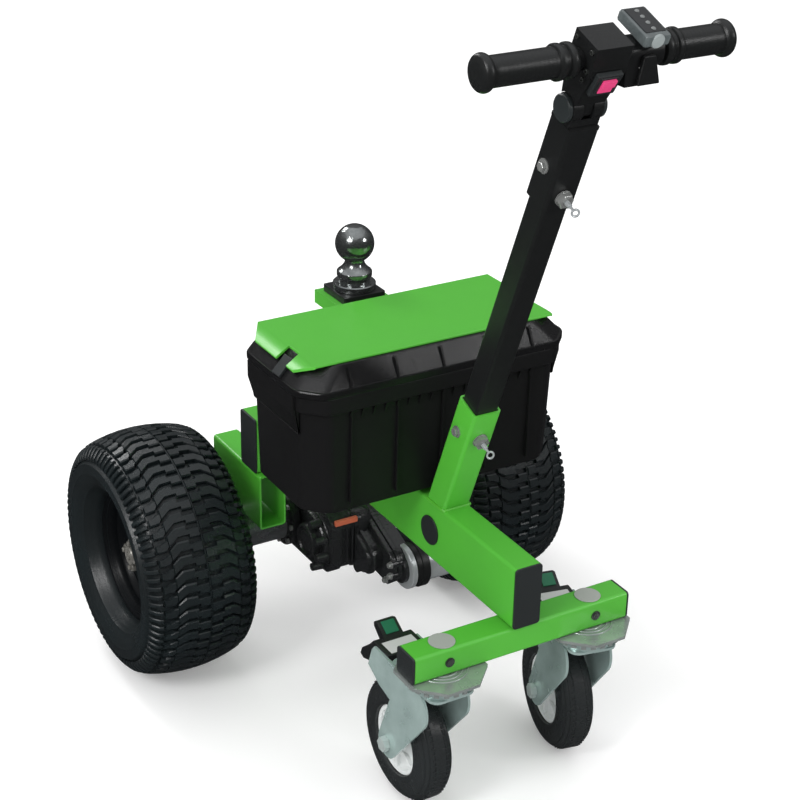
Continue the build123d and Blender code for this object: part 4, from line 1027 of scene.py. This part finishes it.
clamp_nut = hex_head_mesh(0.0165, 0.0072, 0.0098)
screw_profile = [
    (0, 0), (0.003, 0), (0.003, 0.0145), (0.0024, 0.0152), (0.0015, 0.0156), (0.0015, 0.0215), (0, 0.0215),
]
for node, nut_back in (("socket_clamp", -socket_half), ("sleeve_clamp", -0.0195)):
    along = (sum(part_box(node), Vector()) / 2 - foot_place).dot(up_column)
    foot = at_column(0, nut_back, along)
    screw = moved_mesh(turned_mesh(screw_profile, 20), foot, -off_column)
    eye = wire_eye_mesh(at_column(0, nut_back - 0.0255, along))
    replace_node(node + "_nut", [moved_mesh(clamp_nut, foot, -off_column)], dark_steel, node, 20)
    replace_node(node + "_eye_screw", [screw, eye], motor_steel, node, 45)

# Tilt knuckle and handle head
# The sleeve ends in a round barrel; the head's tongue turns in it on a pin with
# broad plastic caps, and two rows of socket screws clamp the head to the bar. A
# web at the barrel's foot closes the slot between its cheeks.
knuckle_coat = surface(
    "satin_black_casting", (0.009, 0.0098, 0.01), (0.0062, 0.0068, 0.007), (0.3, 0.42),
    (700, 0.0004), 0.03
)
dress("tilt_barrel", knuckle_coat, 0.0008)
dress("handle_head", knuckle_coat, 0.001)
web_half, web_top = 0.0064, [(0.0138, -0.0073), (0.01, -0.0093), (0.0066, -0.0115), (0.003, -0.0129)]
web_outline = [(-0.0138, -0.015), (0.0138, -0.015)] + web_top + [
    (-back, along) for back, along in reversed(web_top)
]
web = skin_mesh([[(back, along, x) for back, along in web_outline] for x in (-web_half, web_half)])
web_place = axes_matrix(tilt_place, off_column, up_column, (1, 0, 0))
add_piece("knuckle_web", [placed_mesh(web, web_place)], knuckle_coat, "sleeve", 30)
pivot_cap_plastic = surface(
    "pivot_cap_plastic", (0.024, 0.03, 0.031), (0.019, 0.024, 0.025), (0.34, 0.44),
    (1500, 0.0002), 0.02
)
pin_half = 0.0193
pin = turned_mesh([(0, -pin_half), (0.005, -pin_half), (0.005, pin_half), (0, pin_half)], 32)
cap_profile = [
    (0, 0), (0.0148, 0), (0.015, 0.0004), (0.015, 0.0036), (0.0138, 0.0048), (0.0115, 0.005), (0, 0.005),
]
pivot_meshes = [moved_mesh(pin, tilt_place, (1, 0, 0))]
screw_head = [
    (0, 0), (0.0027, 0), (0.0027, 0.0018), (0.0024, 0.0022), (0.0014, 0.0022), (0.0014, 0.001), (0, 0.001)
]
cap_screw = turned_mesh(screw_head, 24)
bar_along = 0.667
head_screws = []
for side in (-1, 1):
    cap_place = tilt_place + Vector((side * pin_half, 0, 0))
    pivot_meshes.append(moved_mesh(turned_mesh(cap_profile, 48), cap_place, (side, 0, 0)))
    for x, back, along in (
        (0.022, -0.017, 0.019), (0.022, 0.011, 0.019), (0.022, -0.017, -0.003), (0.019, -0.012, -0.017)
    ):
        head_screws.append(
            moved_mesh(cap_screw, at_column(side * x, back, bar_along + along), (side, 0, 0))
        )
replace_node("pivot_caps", pivot_meshes, pivot_cap_plastic, "tilt_pivot", 32)
black_steel = surface(
    "black_oxide_steel", (0.07, 0.075, 0.07), (0.04, 0.042, 0.04), (0.2, 0.3),
    (700, 0.0002), 0.0, 60.0, Metallic=0.6
)
add_piece("head_screws", head_screws, black_steel, "handle", 30)


def column_frame(along):
    """Matrix from across, back and up the column to the machine's axes."""
    return axes_matrix(at_column(0, 0, along), (1, 0, 0), off_column, up_column)


split = block_mesh((-0.0222, -0.0232, -0.0006), (0.0222, -0.0226, 0.0006), 0.0002)
add_piece(
    "head_split_line", [placed_mesh(split, column_frame(bar_along))], knuckle_coat, "handle",
    30
)

# Handlebar grips
# Soft black rubber sleeves with a bulb at the outer end, two rings at the inner
# end and shallow ribs between, pushed on the bar.
grip_rubber = surface(
    "grip_rubber", (0.0098, 0.0108, 0.0108), (0.0075, 0.0082, 0.0082), (0.26, 0.36),
    (1300, 0.0003), 0.02
)
dress("handlebar", black_coat, 0.0, 40)
for hand, side in (("left", -1), ("right", 1)):
    low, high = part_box("grip_" + hand)
    outer_x, length = high.x if side > 0 else low.x, high.x - low.x
    grip_profile = [(0, 0), (0.0095, 0), (0.0125, 0.0007)]
    for step in range(9):
        angle = -0.9 + 2.1 * step / 8
        grip_profile.append((0.0128 + 0.0071 * cos(angle), 0.0078 + 0.0071 * sin(angle)))
    ribs_from, ribs_to = 0.0175, length - 0.022
    grip_profile.append((0.0159, 0.0165))
    ribs = round((ribs_to - ribs_from) / 0.0052)
    for rib in range(ribs):
        start = ribs_from + (ribs_to - ribs_from) * rib / ribs
        grip_profile += [(0.01585, start), (0.016, start + 0.0009), (0.016, start + 0.0043)]
    for start in (length - 0.0205, length - 0.0075):
        grip_profile += [(0.0158, start - 0.0015), (0.018, start - 0.0006), (0.0189, start + 0.001)]
        grip_profile += [(0.019, start + 0.0035), (0.0186, start + 0.0058), (0.0166, start + 0.0068)]
    grip_profile[-1] = (0.0175, length)
    grip_profile += [(0.0112, length), (0.0112, 0.006), (0, 0.006)]
    grip_end = (outer_x, (low.y + high.y) / 2, (low.z + high.z) / 2)
    grip_mesh = moved_mesh(turned_mesh(grip_profile, 64), grip_end, (-side, 0, 0))
    replace_node(f"grip_{hand}_rubber", [grip_mesh], grip_rubber, "grip_" + hand, 30)

# Rocker switch
# A snap-in housing on the front of the neck with a pink-red translucent rocker,
# pressed at its lower half.
neck_foot = at_column(0, -0.018, (tilt_place - foot_place).dot(up_column) + 0.03)
neck_top = at_column(0, -0.023, bar_along - 0.008)
up_neck, to_right = (neck_top - neck_foot).normalized(), Vector((1, 0, 0))
switch_frame = axes_matrix((neck_foot + neck_top) / 2, to_right, up_neck, to_right.cross(up_neck))
housing_meshes = [
    block_mesh((-0.0155, -0.0105, -0.001), (0.0155, 0.018, 0.0058), 0.0014),
    block_mesh((-0.0118, -0.0052, 0.004), (0.0092, 0.0162, 0.0072)),
]
rocker_plastic = surface(
    "rocker_plastic", (0.72, 0.055, 0.21), (0.62, 0.035, 0.15), (0.22, 0.32),
    (900, 0.0001)
)
rocker_meshes = [
    block_mesh((-0.0095, 0.0052, 0.003), (0.0068, 0.0146, 0.0104)),
    block_mesh((-0.0095, -0.0034, 0.003), (0.0068, 0.0058, 0.0086)),
]
for name, meshes, material, node in (
    ("switch_housing_body", housing_meshes, cap_plastic, "switch_housing"),
    ("rocker_body", rocker_meshes, rocker_plastic, "rocker_switch"),
):
    replace_node(name, [placed_mesh(mesh, switch_frame) for mesh in meshes], material, node, 30)

# Throttle and battery meter
# A black clamp carries the thumb lever; the meter on it is a smoky grey box with a
# dark slanted window over four round lamps and a pale push button.
lever_plastic = surface(
    "lever_plastic", (0.0075, 0.008, 0.0085), (0.0055, 0.006, 0.0062), (0.28, 0.38),
    (1300, 0.0003), 0.02
)
dress("throttle_body", lever_plastic, 0.001)
dress("thumb_lever", lever_plastic, 0.0016)
meter_plastic = surface(
    "meter_plastic", (0.14, 0.16, 0.162), (0.04, 0.05, 0.052), (0.06, 0.14),
    (110, 0.003), 0.0, 70.0, Coat_Weight=0.6, Coat_Roughness=0.06
)
dress("throttle_meter", meter_plastic, 0.004)
window_plastic = surface(
    "meter_window", (0.012, 0.014, 0.015), (0.01, 0.011, 0.012), (0.08, 0.12),
    (100, 0.00005), Specular_IOR_Level=0.6
)
lamp_plastic = surface("meter_lamp", (0.2, 0.21, 0.21), (0.14, 0.15, 0.15), (0.2, 0.3), (400, 0.0001))
button_plastic = surface("meter_button", (0.3, 0.33, 0.33), (0.22, 0.25, 0.25), (0.25, 0.35), (300, 0.0002))
meter_x, meter_frame = 0.054, column_frame(bar_along + 0.03)
window = block_mesh((meter_x - 0.0125, -0.0125, -0.0006), (meter_x + 0.0125, 0.0285, 0.0008), 0.0005)
lamp = turned_mesh(
    [(0, 0), (0.0026, 0), (0.0026, 0.0006), (0.002, 0.0014), (0.001, 0.0018), (0, 0.0019)], 24
)
first_lamp = moved_mesh(lamp, (meter_x, -0.0075, 0.0006))
lamp_row = repeated_mesh(first_lamp, 4, lamp_plastic, (0, 0.0102, 0))
button = turned_mesh(
    [(0, 0), (0.008, 0), (0.008, 0.0016), (0.0072, 0.0026), (0.004, 0.003), (0, 0.0031)], 40
)
button_place = at_column(meter_x, -0.0182, bar_along + 0.0235)
for name, mesh, material, smooth_angle in (
    ("meter_window", placed_mesh(window, meter_frame), window_plastic, 30),
    ("meter_lamps", placed_mesh(lamp_row, meter_frame), lamp_plastic, 40),
    ("meter_button", moved_mesh(button, button_place, -off_column), button_plastic, 40),
):
    add_piece(name, [mesh], material, "handle", smooth_angle)

# Casters
# Two swivel casters under the cross beam: zinc-plated octagonal plates with
# embossed rings, pressed forks, white hubs with soft black tyres, and foot brakes.
plate_zinc = surface(
    "plate_zinc", (0.5, 0.54, 0.52), (0.27, 0.31, 0.3), (0.18, 0.32),
    (400, 0.0002), 0.0, 40.0, Metallic=0.6
)
caster_rubber = surface(
    "caster_rubber", (0.0225, 0.0255, 0.0265), (0.0155, 0.0175, 0.018), (0.2, 0.38),
    (1200, 0.0003), 0.04
)
hub_plastic = surface(
    "white_hub_plastic", (0.72, 0.74, 0.73), (0.64, 0.67, 0.67), (0.35, 0.45),
    (800, 0.0003), 0.05
)
brake_plastic = surface(
    "brake_plastic", (0.013, 0.0145, 0.015), (0.009, 0.0102, 0.0105), (0.32, 0.44),
    (1200, 0.0003), 0.04, Specular_IOR_Level=0.45
)
nut_zinc = surface(
    "caster_nut_zinc", (0.7, 0.78, 0.76), (0.5, 0.58, 0.56), (0.12, 0.24),
    (500, 0.0002), 0.0, 60.0, Metallic=0.5
)
insert_plastic = surface(
    "green_insert", (0.004, 0.16, 0.075), (0.003, 0.11, 0.05), (0.3, 0.4),
    (800, 0.0002)
)
label_film = surface("blank_white_label", (0.6, 0.6, 0.6), (0.52, 0.52, 0.53), (0.4, 0.5), (500, 0.0001))
dress("caster_plates", plate_zinc, 0.0006)
plate_low, plate_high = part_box("caster_plates")
beam_low, beam_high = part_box("cross_beam")
caster_x, plate_y = plate_high.x - (plate_high.y - plate_low.y) / 2, (plate_low.y + plate_high.y) / 2
ring_wire, ring_z = 0.0015, plate_high.z - 0.0004
bolt_meshes, plate_rings = [], []
for x in (-caster_x, caster_x):
    bolt_place = (x, beam_low.y, (beam_low.z + beam_high.z) / 2)
    bolt_meshes.append(moved_mesh(hex_head_mesh(0.009, 0.0008, 0.0062), bolt_place, (0, -1, 0)))
    for ring_r in (0.0205, 0.0262, 0.0322):
        turns = [pi * step / 4 for step in range(8)]
        ring_profile = [(ring_r + ring_wire * cos(turn), ring_z + 0.0014 * sin(turn)) for turn in turns]
        plate_rings.append(moved_mesh(turned_mesh(ring_profile, 72, True), (x, plate_y, 0)))
add_piece("cross_beam_bolts", bolt_meshes, black_steel, "frame", 20)
add_piece("plate_rings", plate_rings, plate_zinc, "frame", 50)

caster_r, caster_half_w, crown_arc = 0.08, 0.0225, 0.018
tyre_profile = [(0.0462, -0.0205), (0.0485, -0.0222), (0.052, -0.0225), (0.0595, -0.0225)]
for step in range(25):
    angle = -pi / 2 + pi / 2 * step / 24
    reach = crown_arc - (0.0014 if step in (9, 15, 21) else 0.0006)
    tyre_profile.append(
        (caster_r - crown_arc + reach * cos(angle), crown_arc - caster_half_w + reach * sin(angle))
    )
tyre_profile += [(radius, -x) for radius, x in reversed(tyre_profile)]
wall_bar = block_mesh((-0.0228, -0.0014, 0.054), (-0.0219, 0.0014, 0.0595), 0.0003)
wall_bars = repeated_mesh(wall_bar, 36, caster_rubber, turn=(2 * pi / 36, 0, 0))
caster_tyre = [
    wheel_part_mesh(tyre_profile, 96, True), wall_bars, placed_mesh(wall_bars, Matrix.Rotation(pi, 4, "Z"))
]
bar_count = 64
for bar_x, phase in ((-0.005, 0), (0.005, 0.5)):
    bar = block_mesh((bar_x - 0.0062, -0.0009, 0.0775), (bar_x + 0.0062, 0.0009, 0.07985), 0.0004)
    turned_bar = placed_mesh(bar, Matrix.Rotation(phase * 2 * pi / bar_count, 4, "X"))
    caster_tyre.append(repeated_mesh(turned_bar, bar_count, caster_rubber, turn=(2 * pi / bar_count, 0, 0)))
hub_half = [
    (0.0062, 0.0272), (0.0125, 0.0272), (0.013, 0.0268), (0.0135, 0.019), (0.016, 0.0165), (0.0215, 0.0125),
    (0.035, 0.0115), (0.0385, 0.0135), (0.04, 0.0168), (0.0445, 0.017), (0.0458, 0.016),
]
spoke = block_mesh((-0.0168, -0.0016, 0.014), (0.0168, 0.0016, 0.0395), 0.0005)
caster_hub = [
    wheel_part_mesh(hub_half + [(radius, -x) for radius, x in reversed(hub_half)], 64, True),
    repeated_mesh(spoke, 6, hub_plastic, turn=(pi / 3, 0, 0)),
]
insert_place = Matrix.Translation((0, 0.0498, 0.1317)) @ Matrix.Rotation(radians(30.2), 4, "X")
insert = placed_mesh(block_mesh((-0.009, -0.009, -0.001), (0.009, 0.009, 0.0012), 0.0006), insert_place)
label = block_mesh((-0.021, 0.0085, 0.1229), (0.021, 0.0335, 0.1233), 0.0001)
for hand in ("left", "right"):
    swivel, spin = joint_of[hand + "_caster_swivel"], joint_of[hand + "_caster_spin"]
    axle, axis = Vector(spin["pos_m"]), Vector(spin["axis"]).normalized()
    trail = axle - Vector(swivel["pos_m"])
    trail.z = 0
    caster_place = axes_matrix(axle, axis, trail.normalized(), (0, 0, 1))
    for part, meshes, material in (("tyre", caster_tyre, caster_rubber), ("hub", caster_hub, hub_plastic)):
        placed = placed_mesh(joined_mesh(meshes), caster_place)
        replace_node(f"{hand}_caster_{part}", [placed], material, f"caster_{part}_{hand}")
    dress(f"caster_fork_{hand}", zinc, 0.0009)
    dress(f"caster_axle_{hand}", nut_zinc, 0.0008)
    dress(f"brake_pedal_{hand}", brake_plastic, 0.0016)
    for part, mesh, material in (("insert", insert, insert_plastic), ("label", label, label_film)):
        placed = placed_mesh(mesh, caster_place)
        add_piece(f"{hand}_pedal_{part}", [placed], material, f"{hand}_fork", 30)
